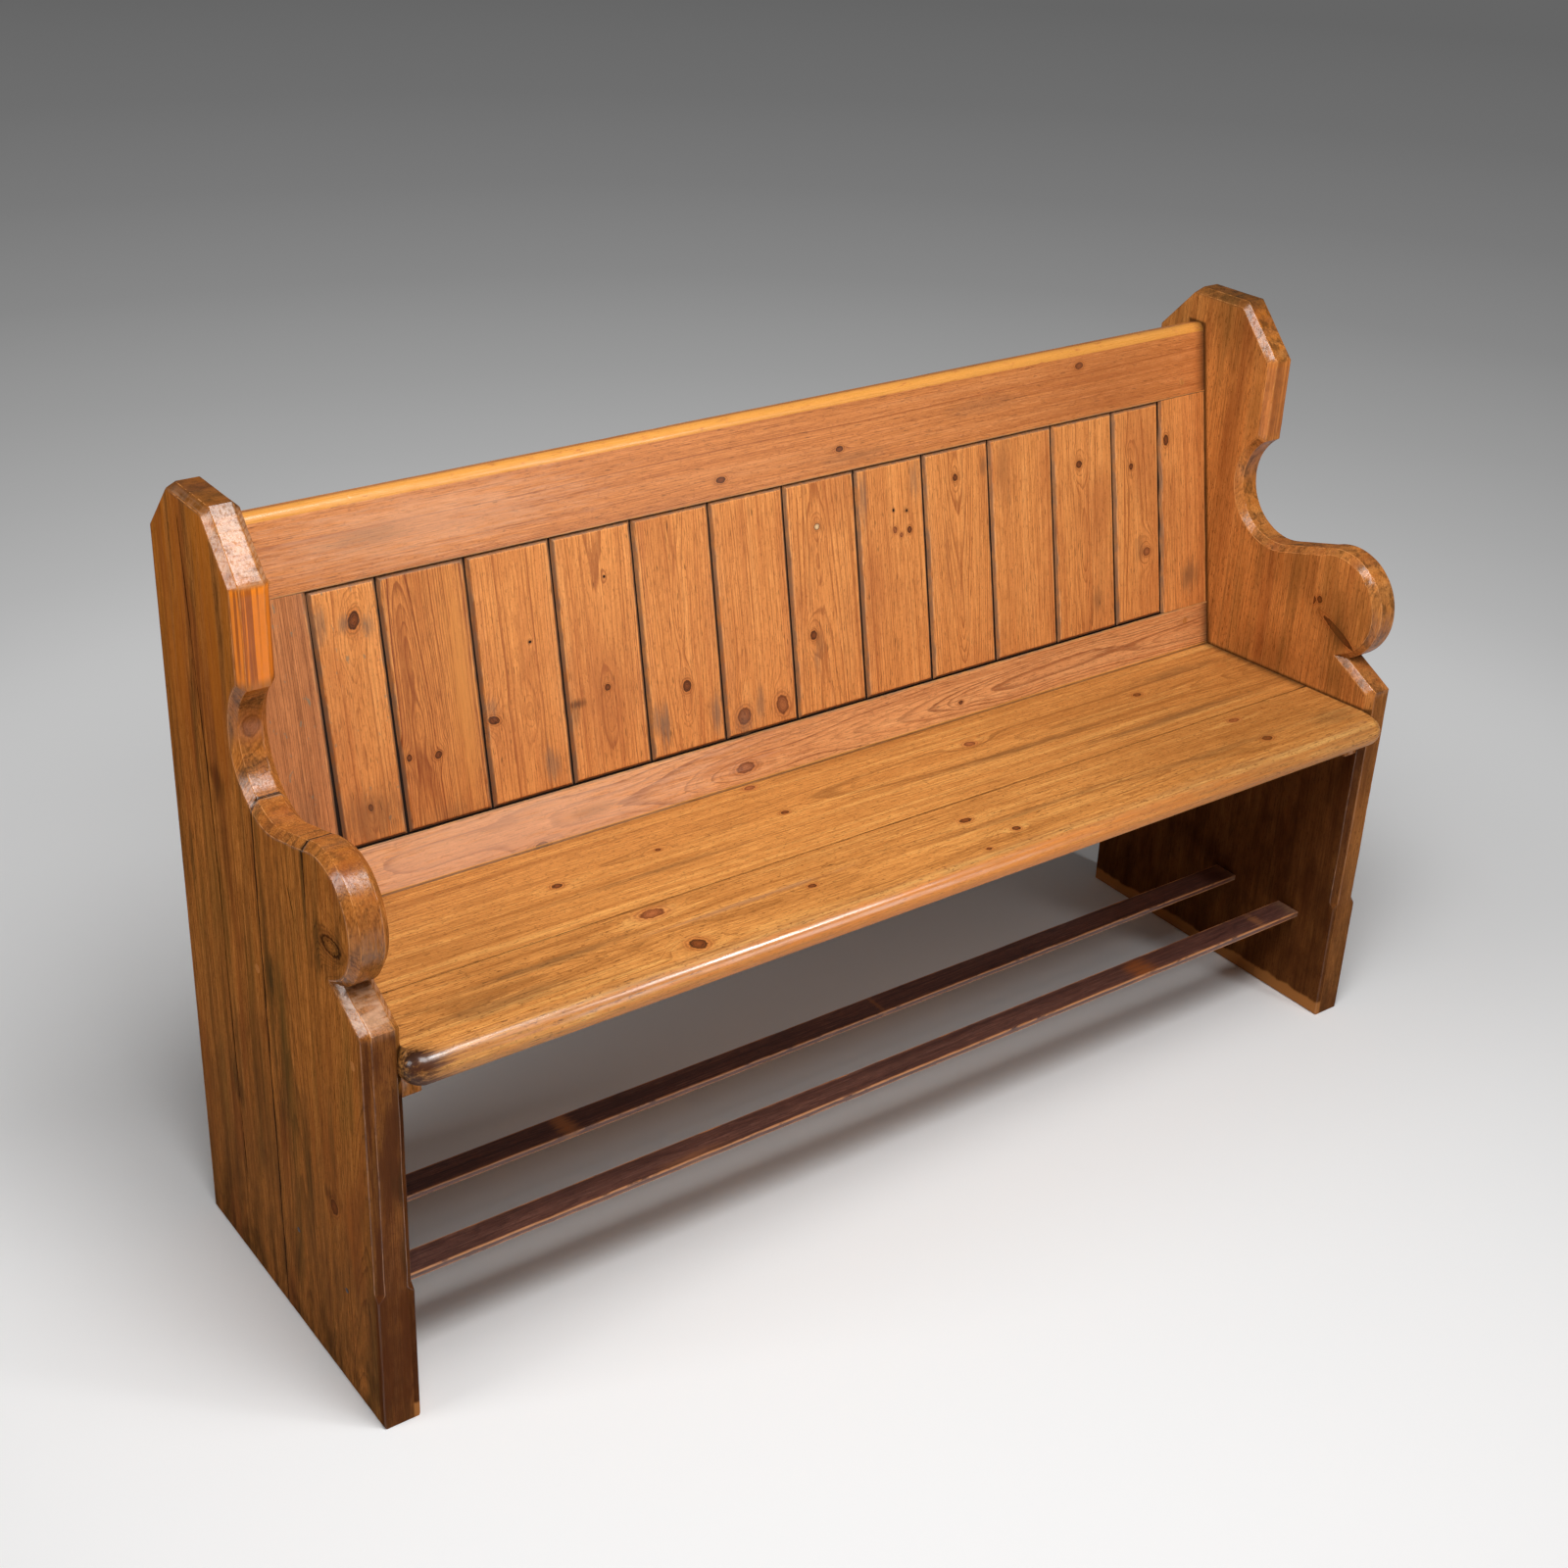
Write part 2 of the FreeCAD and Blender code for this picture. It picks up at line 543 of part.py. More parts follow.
def main():
    os.makedirs("parts", exist_ok=True)

    for name, board in end_boards().items():
        save("left_end_" + name, [board])
        save("right_end_" + name, [mirrored(board)])
    dowels = end_dowels(0.0, 0.0)
    save("left_end_dowels", dowels)
    save("right_end_dowels", [mirrored(dowel) for dowel in dowels])

    top_rail, bottom_rail, stile, pegs = back_frame()
    save("back_top_rail", [lean_back(top_rail)])
    save("back_bottom_rail", [lean_back(bottom_rail)])
    save("back_left_stile", [lean_back(stile)])
    save("back_right_stile", [lean_back(mirrored(stile))])
    save("back_frame_pegs", [lean_back(pin) for pin in pegs])
    for number, board in enumerate(back_boards(), start=1):
        save("back_board_%02d" % number, [lean_back(board)])

    front, rear, tongue = seat_boards()
    save("seat_front_board", [front])
    save("seat_rear_board", [rear])
    save("seat_joint_tongue", [tongue])
    bearer = seat_bearer()
    save("left_seat_bearer", [bearer])
    save("right_seat_bearer", [mirrored(bearer)])

    front_lath, rear_lath = foot_laths(0.0)
    nails = [lath_nail(u, 0.0) for u in LATH_CENTRES_U]
    nails += [mirrored(nail) for nail in nails]
    nail_holes = [lath_nail(u, ROUND_FIT) for u in LATH_CENTRES_U]
    nail_holes += [mirrored(hole) for hole in nail_holes]
    save("front_foot_lath", [front_lath.cut(nail_holes)])
    save("rear_foot_lath", [rear_lath.cut(nail_holes)])
    save("lath_nails", nails)

    screws = [seat_screw(u, depth, 0.0) for u, depth in seat_screw_places()]
    save("seat_screws", screws + [mirrored(screw) for screw in screws])
    plugs = [seat_plug(u, depth, 0.0) for u, depth in seat_screw_places()]
    save("seat_screw_plugs", plugs + [mirrored(plug) for plug in plugs])
    bearer_screws = [bearer_screw(u, 0.0) for u in BEARER_SCREWS_U]
    save("bearer_screws", bearer_screws + [mirrored(screw) for screw in bearer_screws])


main()
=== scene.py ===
"""The looks of a pine hall bench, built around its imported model.

Lengths are in mm until a mesh is made. X runs along the bench, U from the leg fronts to the rear,
Z up from the floor. The shared frame is in metres, with the middle of the bench over its origin.
"""

import logging
import math
from dataclasses import dataclass, field, replace
from enum import Enum
from typing import Sequence, Union

import bmesh
import bpy
import numpy as np
from mathutils import Matrix, Vector


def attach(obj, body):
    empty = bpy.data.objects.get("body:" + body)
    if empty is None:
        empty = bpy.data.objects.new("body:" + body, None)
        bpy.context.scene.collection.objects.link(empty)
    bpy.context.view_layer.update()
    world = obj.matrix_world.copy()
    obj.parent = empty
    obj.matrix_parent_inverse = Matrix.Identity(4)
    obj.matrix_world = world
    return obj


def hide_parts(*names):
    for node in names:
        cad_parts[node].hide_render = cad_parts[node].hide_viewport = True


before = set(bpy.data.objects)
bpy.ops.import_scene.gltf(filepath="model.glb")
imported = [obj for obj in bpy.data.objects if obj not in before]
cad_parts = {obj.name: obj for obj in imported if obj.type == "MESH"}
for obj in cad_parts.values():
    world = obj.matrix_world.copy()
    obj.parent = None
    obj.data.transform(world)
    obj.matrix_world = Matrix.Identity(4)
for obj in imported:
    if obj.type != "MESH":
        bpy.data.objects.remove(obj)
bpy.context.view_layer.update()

LOG = logging.getLogger("hall_bench")
MM_PER_METRE = 1000.0
MERGE = 2e-6
SLIVER = 1e-6
SHARP = math.radians(44.0)
FAR_OFF = 1e5
Colour = tuple[float, float, float]
Point = tuple[float, float, float]


def srgb(red: int, green: int, blue: int) -> Colour:
    """A colour as it is seen on a screen, turned into linear light by the screen's own curve.

    Args:
        red: Red, from 0 to 255.
        green: Green, from 0 to 255.
        blue: Blue, from 0 to 255.

    Returns:
        The three shares of light.
    """
    share = np.array([red, green, blue]) / 255.0
    low, high = share / 12.92, ((share + 0.055) / 1.055) ** 2.4
    return tuple(float(v) for v in np.where(share <= 0.04045, low, high))


@dataclass(frozen=True)
class Sizes:
    """Sizes that several pieces share."""

    half_length: float = 720.0
    end_thickness: float = 41.0
    end_depth: float = 430.0
    end_height: float = 912.0
    middle_u: float = 201.158
    back_u: float = 278.0
    back_level: float = 450.0
    back_rake: float = math.radians(10.6)
    back_thickness: float = 24.0
    back_top: float = 427.29
    top_rail_width: float = 90.0
    bottom_rail_top: float = 54.0
    bottom_rail_width: float = 110.0
    opening: float = 597.0
    seat_height: float = 456.0
    seat_tilt: float = math.radians(2.2)
    seat_thickness: float = 36.0
    seat_joint_u: float = 104.0
    proud: float = 0.3

    @property
    def inner(self) -> float:
        """Half the clear length between the two ends."""
        return self.half_length - self.end_thickness

    @property
    def reach(self) -> float:
        """Half the length of a piece that butts against both ends."""
        return self.inner + 0.15

    @property
    def top_rail_bottom(self) -> float:
        """Height of the top rail's lower edge, measured up the back."""
        return self.back_top - self.top_rail_width


BENCH = Sizes()


def to_frame(points: np.ndarray) -> np.ndarray:
    """Bench points (x, u, z) in mm as points of the shared frame in metres."""
    return (points - np.array([0.0, BENCH.middle_u, 0.0])) / MM_PER_METRE


def turned(points: np.ndarray, line: Sequence[float], angle: float) -> np.ndarray:
    """Turns points (x, depth, height) by an angle about a line that runs along the bench.

    Args:
        points: Points measured from the line.
        line: U and z of the line.
        angle: How far the height leans to the rear.

    Returns:
        The points as (x, u, z).
    """
    x, depth, height = np.moveaxis(points, -1, 0)
    cos, sin = math.cos(angle), math.sin(angle)
    return np.stack([x, line[0] + depth * cos + height * sin, line[1] - depth * sin + height * cos], -1)


def lean_back(points: np.ndarray) -> np.ndarray:
    """Leans points (x, depth behind the back's front face, height) by the rake of the back."""
    return turned(points, (BENCH.back_u, BENCH.back_level), BENCH.back_rake)


def tilt_seat(points: np.ndarray) -> np.ndarray:
    """Tilts points of a level seat (x, u, height over its top) by the seat's tilt."""
    return turned(points, (0.0, BENCH.seat_height), BENCH.seat_tilt)


def wander(place: np.ndarray, seed: int, period: float) -> np.ndarray:
    """A smooth uneven line: the sum of four sines of shrinking period with seeded phases.

    Args:
        place: Where along the line, in mm.
        seed: Chooses the phases.
        period: The longest sine's period in mm.

    Returns:
        Values between about -1 and 1.
    """
    rng = np.random.default_rng(seed)
    turns = 0.53 ** -np.arange(4.0) / period
    size = 0.6 ** np.arange(4.0)
    waves = np.sin(2 * np.pi * np.multiply.outer(place, turns) + rng.uniform(0, 2 * np.pi, 4))
    return (waves * size).sum(-1) / size.sum()


def nicks(place: np.ndarray, seed: int, count: int, width: float) -> np.ndarray:
    """Small dents along an arris: a sum of narrow bell curves at seeded places.

    Args:
        place: Where along the arris, in mm.
        seed: Chooses the places, widths and depths.
        count: How many dents.
        width: The usual half width of a dent in mm.

    Returns:
        The depth of the dents, from 0 to about 1.
    """
    rng = np.random.default_rng(seed)
    middle = rng.uniform(place.min(), place.max(), count)
    wide = rng.uniform(0.5, 1.7, count) * width
    deep = rng.uniform(0.25, 1.0, count)
    return (deep * np.exp(-(((place[..., None] - middle) / wide) ** 2))).sum(-1)


@dataclass
class Shell:
    """A closed surface with two values at each point: wear of the arris, and dirt, whose negative values
    paint shade along contacts.
    """

    points: np.ndarray
    faces: list[list[int]]
    smooth: np.ndarray
    wear: np.ndarray
    grime_and_shade: np.ndarray


def loft(rings: np.ndarray, wear: np.ndarray, grime_and_shade: np.ndarray) -> Shell:
    """Joins a stack of closed loops into one closed surface.

    Point (i, j) of the grid is point j of loop i. Four neighbours make a face, the last point of
    a loop joins its first, and one flat face closes each end of the stack.

    Args:
        rings: Points, as loops by points by three.
        wear: Wear of the arris at each point.
        grime_and_shade: Dirt at each point; negative values paint shade along contacts.

    Returns:
        The closed surface.
    """
    count, around = rings.shape[:2]
    row = np.arange(count - 1)[:, None] * around
    here = np.arange(around)[None, :]
    then = (here + 1) % around
    walls = np.stack([row + here, row + then, row + around + then, row + around + here], -1)
    last = np.arange(around) + (count - 1) * around
    faces = walls.reshape(-1, 4).tolist() + [np.arange(around)[::-1].tolist(), last.tolist()]
    smooth = np.ones(len(faces), bool)
    smooth[-2:] = False
    return Shell(rings.reshape(-1, 3), faces, smooth, wear.ravel(), grime_and_shade.ravel())


def rounded_loop(
    corners: Sequence[Point], steps: int = 4, spacing: float = 16.0
) -> tuple[np.ndarray, np.ndarray]:
    """A closed outline whose corners are arcs that touch both their sides.

    The centre of an arc lies on the line that halves the corner, so that it is one radius from
    both sides. Straight runs get a point near each arc and then one every spacing.

    Args:
        corners: Corner points and the radius of each corner.
        steps: Faces on each arc.
        spacing: Greatest distance between points on a straight run.

    Returns:
        The outline's points, and for each point how near it is to an arris, from 0 to 1.
    """
    at = np.array([c[:2] for c in corners], float)
    arcs = []
    for index, (*_, radius) in enumerate(corners):
        here = at[index]
        ways = np.array([at[index - 1] - here, at[(index + 1) % len(at)] - here])
        ways /= np.linalg.norm(ways, axis=1)[:, None]
        half = math.acos(float(np.clip(ways[0] @ ways[1], -1, 1))) / 2
        if radius <= 0:
            arcs.append(here[None])
            continue
        middle = ways.sum(0) / np.linalg.norm(ways.sum(0)) * radius / math.sin(half)
        spokes = ways * radius / math.tan(half) - middle
        turn = math.pi - 2 * half
        share = np.linspace(0, 1, steps + 1)[:, None]
        bend = np.sin((1 - share) * turn) * spokes[0] + np.sin(share * turn) * spokes[1]
        arcs.append(here + middle + bend / math.sin(turn))
    points, edge = [], []
    for arc, after in zip(arcs, arcs[1:] + arcs[:1]):
        run = after[0] - arc[-1]
        length = float(np.linalg.norm(run))
        near = min(1.5, length / 3)
        inside = np.linspace(near, length - near, max(2, int(length / spacing) + 2))
        points += [arc, arc[-1] + run * (inside / max(length, 1e-9))[:, None]]
        edge += [np.ones(len(arc)), np.exp(-np.minimum(inside, length - inside) / 2.0)]
    return np.concatenate(points), np.concatenate(edge)


def inward(loop: np.ndarray) -> np.ndarray:
    """Directions into a loop, each square to the line between a point's two neighbours.

    Args:
        loop: Points of a closed outline.

    Returns:
        One unit direction for each point.
    """
    along = np.roll(loop, -1, 0) - np.roll(loop, 1, 0)
    area = np.sum(loop[:, 0] * np.roll(loop[:, 1], -1) - loop[:, 1] * np.roll(loop[:, 0], -1))
    square = np.stack([-along[:, 1], along[:, 0]], -1) * math.copysign(1.0, area)
    return square / np.maximum(np.linalg.norm(square, axis=1), 1e-9)[:, None]


def stations(start: float, stop: float, pitch: float, soften: float) -> tuple[np.ndarray, np.ndarray]:
    """Places along a bar for its loops, and how far each loop draws in to soften the bar's ends.

    Args:
        start: First place.
        stop: Last place.
        pitch: Distance between loops.
        soften: Radius of the softened end.

    Returns:
        The places, and the draw-in at each place.
    """
    steps = np.array([0.0, 0.29, 1.0]) * soften
    drawn = np.array([1.0, 0.29, 0.0]) * soften
    body = np.linspace(start + 2 * soften, stop - 2 * soften, max(3, int((stop - start) / pitch)))
    places = np.concatenate([start + steps, body, stop - steps[::-1]])
    return places, np.concatenate([drawn, np.zeros(len(body)), drawn[::-1]])


@dataclass(frozen=True)
class Bar:
    """A worn bar: a rounded section (across, depth) carried along a straight line."""

    corners: tuple[Point, ...]
    start: float
    stop: float
    seed: int
    pitch: float = 22.0
    soften: float = 0.5
    waver: float = 0.22
    chips: float = 0.5
    chip_count: int = 14
    chip_width: float = 6.0
    long_wave: float = 420.0
    short_wave: float = 90.0

    def shell(self, order: str) -> Shell:
        """Carries the section along, drawn in by the faces' waver and the chips in the arrises.

        Args:
            order: Where along, across and depth go, such as "acb" for (along, depth, across).

        Returns:
            The bar's surface with no dirt and no painted shade, with its three numbers in the order asked
            for.
        """
        loop, edge = rounded_loop(self.corners)
        into = inward(loop)
        along, drawn = stations(self.start, self.stop, self.pitch, self.soften)
        uneven = wander(along[:, None] + 9 * loop[None, :, 1], self.seed, self.long_wave)
        uneven = uneven + wander(loop[None, :, 0] + 0.15 * along[:, None], self.seed + 1, self.short_wave)
        spread = along[:, None] + 40 * into[None, :, 0]
        chipped = nicks(spread, self.seed + 2, self.chip_count, self.chip_width)
        depth = drawn[:, None] + self.waver * (0.5 + 0.25 * uneven) + self.chips * chipped * edge
        flat = loop[None] + into[None] * depth[..., None]
        parts = {"a": np.broadcast_to(along[:, None], depth.shape), "b": flat[..., 0], "c": flat[..., 1]}
        rings = np.stack([parts[name] for name in order], -1)
        return loft(rings, np.broadcast_to(edge, depth.shape), np.zeros(depth.shape))


Number = Union["Value", float]


class Value:
    """A value on a shader's wire. Python's operators on it add Math nodes."""

    def __init__(self, graph: "Graph", socket: bpy.types.NodeSocket) -> None:
        """Keeps the graph and the socket that the value comes out of."""
        self.graph = graph
        self.socket = socket

    def __add__(self, other: Number) -> "Value":
        """Sum of two values."""
        return self.graph.math("ADD", self, other)

    __radd__ = __add__

    def __sub__(self, other: Number) -> "Value":
        """This value less another."""
        return self.graph.math("SUBTRACT", self, other)

    def __rsub__(self, other: Number) -> "Value":
        """Another value less this one."""
        return self.graph.math("SUBTRACT", other, self)

    def __mul__(self, other: Number) -> "Value":
        """Product of two values."""
        return self.graph.math("MULTIPLY", self, other)

    __rmul__ = __mul__

    def __truediv__(self, other: Number) -> "Value":
        """This value divided by another."""
        return self.graph.math("DIVIDE", self, other)

    def __rtruediv__(self, other: Number) -> "Value":
        """Another value divided by this one."""
        return self.graph.math("DIVIDE", other, self)

    def least(self, other: Number) -> "Value":
        """The lesser of two values."""
        return self.graph.math("MINIMUM", self, other)

    def rise(self, low: float, high: float) -> "Value":
        """An S-shaped rise between two values; a low above high gives a fall.

        Args:
            low: Where it is 0.
            high: Where it is 1.

        Returns:
            The rise, held between 0 and 1.
        """
        flip = low > high
        if flip:
            low, high = high, low
        sockets = {"Value": self, 1: low, 2: high, 3: float(flip), 4: float(not flip)}
        node = self.graph.node("MapRange", {"interpolation_type": "SMOOTHSTEP"}, sockets)
        return Value(self.graph, node.outputs[0])

    def band(self, zone: Sequence[float]) -> "Value":
        """1 between the middle two of four numbers, and 0 outside the outer two."""
        return self.rise(zone[0], zone[1]) * self.rise(zone[3], zone[2])


class Graph:
    """The node tree of one material or world, with a method for each kind of step."""

    def __init__(self, owner: Union[bpy.types.Material, bpy.types.World]) -> None:
        """Starts an empty tree.

        Args:
            owner: The material or world that the tree is for.
        """
        self.owner = owner
        owner.use_nodes = True
        self.tree = owner.node_tree
        self.tree.nodes.clear()

    def node(self, kind: str, settings: dict, sockets: dict) -> bpy.types.Node:
        """Adds one node.

        Args:
            kind: The node's type without its "ShaderNode" prefix.
            settings: Its settings, which are set first.
            sockets: Values or links of its input sockets, by name or number.

        Returns:
            The new node.
        """
        made = self.tree.nodes.new("ShaderNode" + kind)
        for name, value in settings.items():
            setattr(made, name, value)
        for name, value in sockets.items():
            if isinstance(value, Value):
                self.tree.links.new(value.socket, made.inputs[name])
            else:
                made.inputs[name].default_value = value
        return made

    def math(self, operation: str, *values: Number) -> Value:
        """One Math node on one to three values."""
        made = self.node("Math", {"operation": operation}, dict(enumerate(values)))
        return Value(self, made.outputs[0])

    def vector(self, operation: str, *values: Union[Value, Point], out: int = 0) -> Value:
        """One Vector Math node; out 1 is its number, out 0 its vector."""
        made = self.node("VectorMath", {"operation": operation}, dict(enumerate(values)))
        return Value(self, made.outputs[out])

    def scale(self, vector: Value, by: Number) -> Value:
        """A vector times a number."""
        made = self.node("VectorMath", {"operation": "SCALE"}, {0: vector, "Scale": by})
        return Value(self, made.outputs[0])

    def mapping(self, vector: Value, **sockets: Point) -> Value:
        """A place as seen from a frame with its own Location, Rotation and Scale."""
        made = self.node("Mapping", {"vector_type": "TEXTURE"}, {"Vector": vector, **sockets})
        return Value(self, made.outputs[0])

    def object_place(self) -> Value:
        """A point's place in the object, in metres."""
        return Value(self, self.node("TexCoord", {}, {}).outputs["Object"])

    def mix(self, share: Number, below: Union[Value, Colour], above: Union[Value, Colour],
            blend: str = "MIX") -> Value:
        """Lays one colour over another.

        Args:
            share: How much of the upper colour shows.
            below: The lower colour.
            above: The upper colour.
            blend: How the two go together.

        Returns:
            The mixed colour.
        """
        colours = [c if isinstance(c, Value) else (*c, 1.0) for c in (below, above)]
        settings = {"data_type": "RGBA", "blend_type": blend, "clamp_factor": True}
        made = self.node("Mix", settings, {0: share, 6: colours[0], 7: colours[1]})
        return Value(self, made.outputs[2])

    def noise(self, place: Value, periods: Point, detail: float = 2.0, rough: float = 0.5,
              out: int = 0) -> Value:
        """Noise whose grain has its own period along each of three directions.

        Args:
            place: Where, in mm.
            periods: Period in each direction, in mm.
            detail: Octaves of finer noise.
            rough: Weight of the finer noise.
            out: 0 for a number, 1 for three numbers.

        Returns:
            Values about 0.5.
        """
        scaled = self.vector("DIVIDE", place, periods)
        sockets = {"Vector": scaled, "Scale": 1.0, "Detail": detail, "Roughness": rough}
        made = self.node("TexNoise", {}, sockets)
        return Value(self, made.outputs[out])

    def attribute(self, name: str) -> Value:
        """A value that the mesh holds at each point."""
        return Value(self, self.node("Attribute", {"attribute_name": name}, {}).outputs[2])

    def split(self, vector: Value) -> list[Value]:
        """The three numbers of a vector."""
        made = self.node("SeparateXYZ", {}, {0: vector})
        return [Value(self, made.outputs[n]) for n in range(3)]

    def join(self, numbers: Sequence[Number]) -> Value:
        """A vector from three numbers."""
        return Value(self, self.node("CombineXYZ", {}, dict(enumerate(numbers))).outputs[0])

    def surface(self, colour: Value, rough: Value, height: Value, bump: float, fixed: dict) -> None:
        """Ends the tree in a shader.

        Args:
            colour: Base colour.
            rough: Roughness.
            height: Height of the relief in mm.
            bump: Strength of the relief.
            fixed: Values of the shader's other sockets.
        """
        relief = self.node("Bump", {}, {"Strength": bump, "Distance": 0.001, "Height": height})
        normal = Value(self, relief.outputs[0])
        sockets = {"Base Color": colour, "Roughness": rough, "Normal": normal, **fixed}
        shader = self.node("BsdfPrincipled", {}, sockets)
        self.node("OutputMaterial", {}, {"Surface": Value(self, shader.outputs[0])})

    def seen(self) -> Value:
        """1 for what the camera itself looks at, and 0 for light on its way."""
        return Value(self, self.node("LightPath", {}, {}).outputs["Is Camera Ray"])

    def either(self, share: Value, below: bpy.types.Node, above: bpy.types.Node, output: str) -> None:
        """Ends the tree in one shader over another.

        Args:
            share: How much of the upper shader shows.
            below: The lower shader.
            above: The upper shader.
            output: The type of the tree's output node.
        """
        sockets = {0: share, 1: Value(self, below.outputs[0]), 2: Value(self, above.outputs[0])}
        mixed = self.node("MixShader", {}, sockets)
        self.node(output, {}, {"Surface": Value(self, mixed.outputs[0])})


class Grain(Enum):
    """Which way the fibres of a piece run: its axes along, across and into the wood."""

    LEVEL = (0, 1, 2)
    RAIL = (0, 2, 1)
    UPRIGHT = (2, 0, 1)
    PLANK = (2, 1, 0)


class KnotKind(Enum):
    """How a knot looks: the colours of its middle, rim and halo. An eye is closed rings alone."""

    DARK = (srgb(138, 74, 34), srgb(52, 24, 12), srgb(204, 118, 56))
    RED = (srgb(178, 106, 60), srgb(112, 58, 30), srgb(206, 124, 66))
    HOLE = (srgb(24, 12, 8), srgb(20, 10, 7), srgb(196, 118, 62))
    LOOSE = (srgb(166, 104, 48), srgb(46, 27, 14), srgb(120, 72, 36))
    PALE = (srgb(250, 214, 160), srgb(112, 62, 32), srgb(206, 126, 68))
    EYE = None


@dataclass(frozen=True)
class Knot:
    """A knot: its place, its half sizes along and across the fibres, its kind and its slant.

    One that is on an edge shows on the board's edge, and its place and size across are in the depth.
    """

    along: float
    across: float
    long: float
    wide: float
    kind: KnotKind = KnotKind.DARK
    turn: float = 0.0
    on_edge: bool = False


@dataclass(frozen=True)
class Blotch:
    """A blotch with frayed ends: its place, half sizes, strength and colour; most are stains, a few are
    painted sheen or painted shade.
    """

    along: float
    across: float
    long: float
    wide: float
    strength: float
    colour: Colour = srgb(88, 66, 50)


@dataclass(frozen=True)
class Timber:
    """A finish: the colours of the wood and how strongly each part of its pattern shows."""

    early: Colour
    late: Colour
    deep: Colour
    pale: Colour
    ring: float = 3.4
    contrast: float = 0.6
    fill: float = 0.3
    streaks: float = 0.45
    pale_streaks: float = 0.35
    blotches: float = 0.3
    fibre: float = 0.7
    pores: float = 0.35
    specks: float = 0.0
    speck: Colour = srgb(122, 118, 96)
    flecks: float = 0.25
    arris: Colour = srgb(232, 168, 108)
    arris_share: float = 0.45
    arris_gaps: float = 0.42
    dust_and_shade_colour: Colour = srgb(150, 112, 84)
    dirt_and_shade: Colour = srgb(26, 15, 10)
    rough: float = 0.42
    shine: float = 0.3
    coat: float = 0.06
    edge_coat: float = 0.2
    wax: float = 0.22
    wax_index: float = 1.5
    bump: float = 0.5


@dataclass(frozen=True)
class Log:
    """Where a board lay in its log: the pith's place, its lean along the board, and a seed."""

    grain: Grain
    across: float
    depth: float
    lean_across: float = 0.0
    lean_depth: float = 0.0
    seed: int = 1
    bend: float = 12.0
    origin: Point = (0.0, 0.0, 0.0)
    turn: float = 0.0


@dataclass
class Paint:
    """What a board's shader holds so far, and where it reads its patterns."""

    graph: Graph
    place: Value
    seeded: Value
    colour: Value
    rough: Value
    height: Value

    def lay(self, share: Number, colour: Union[Value, Colour]) -> None:
        """Lays a colour over the one so far, by a share."""
        self.colour = self.graph.mix(share, self.colour, colour)


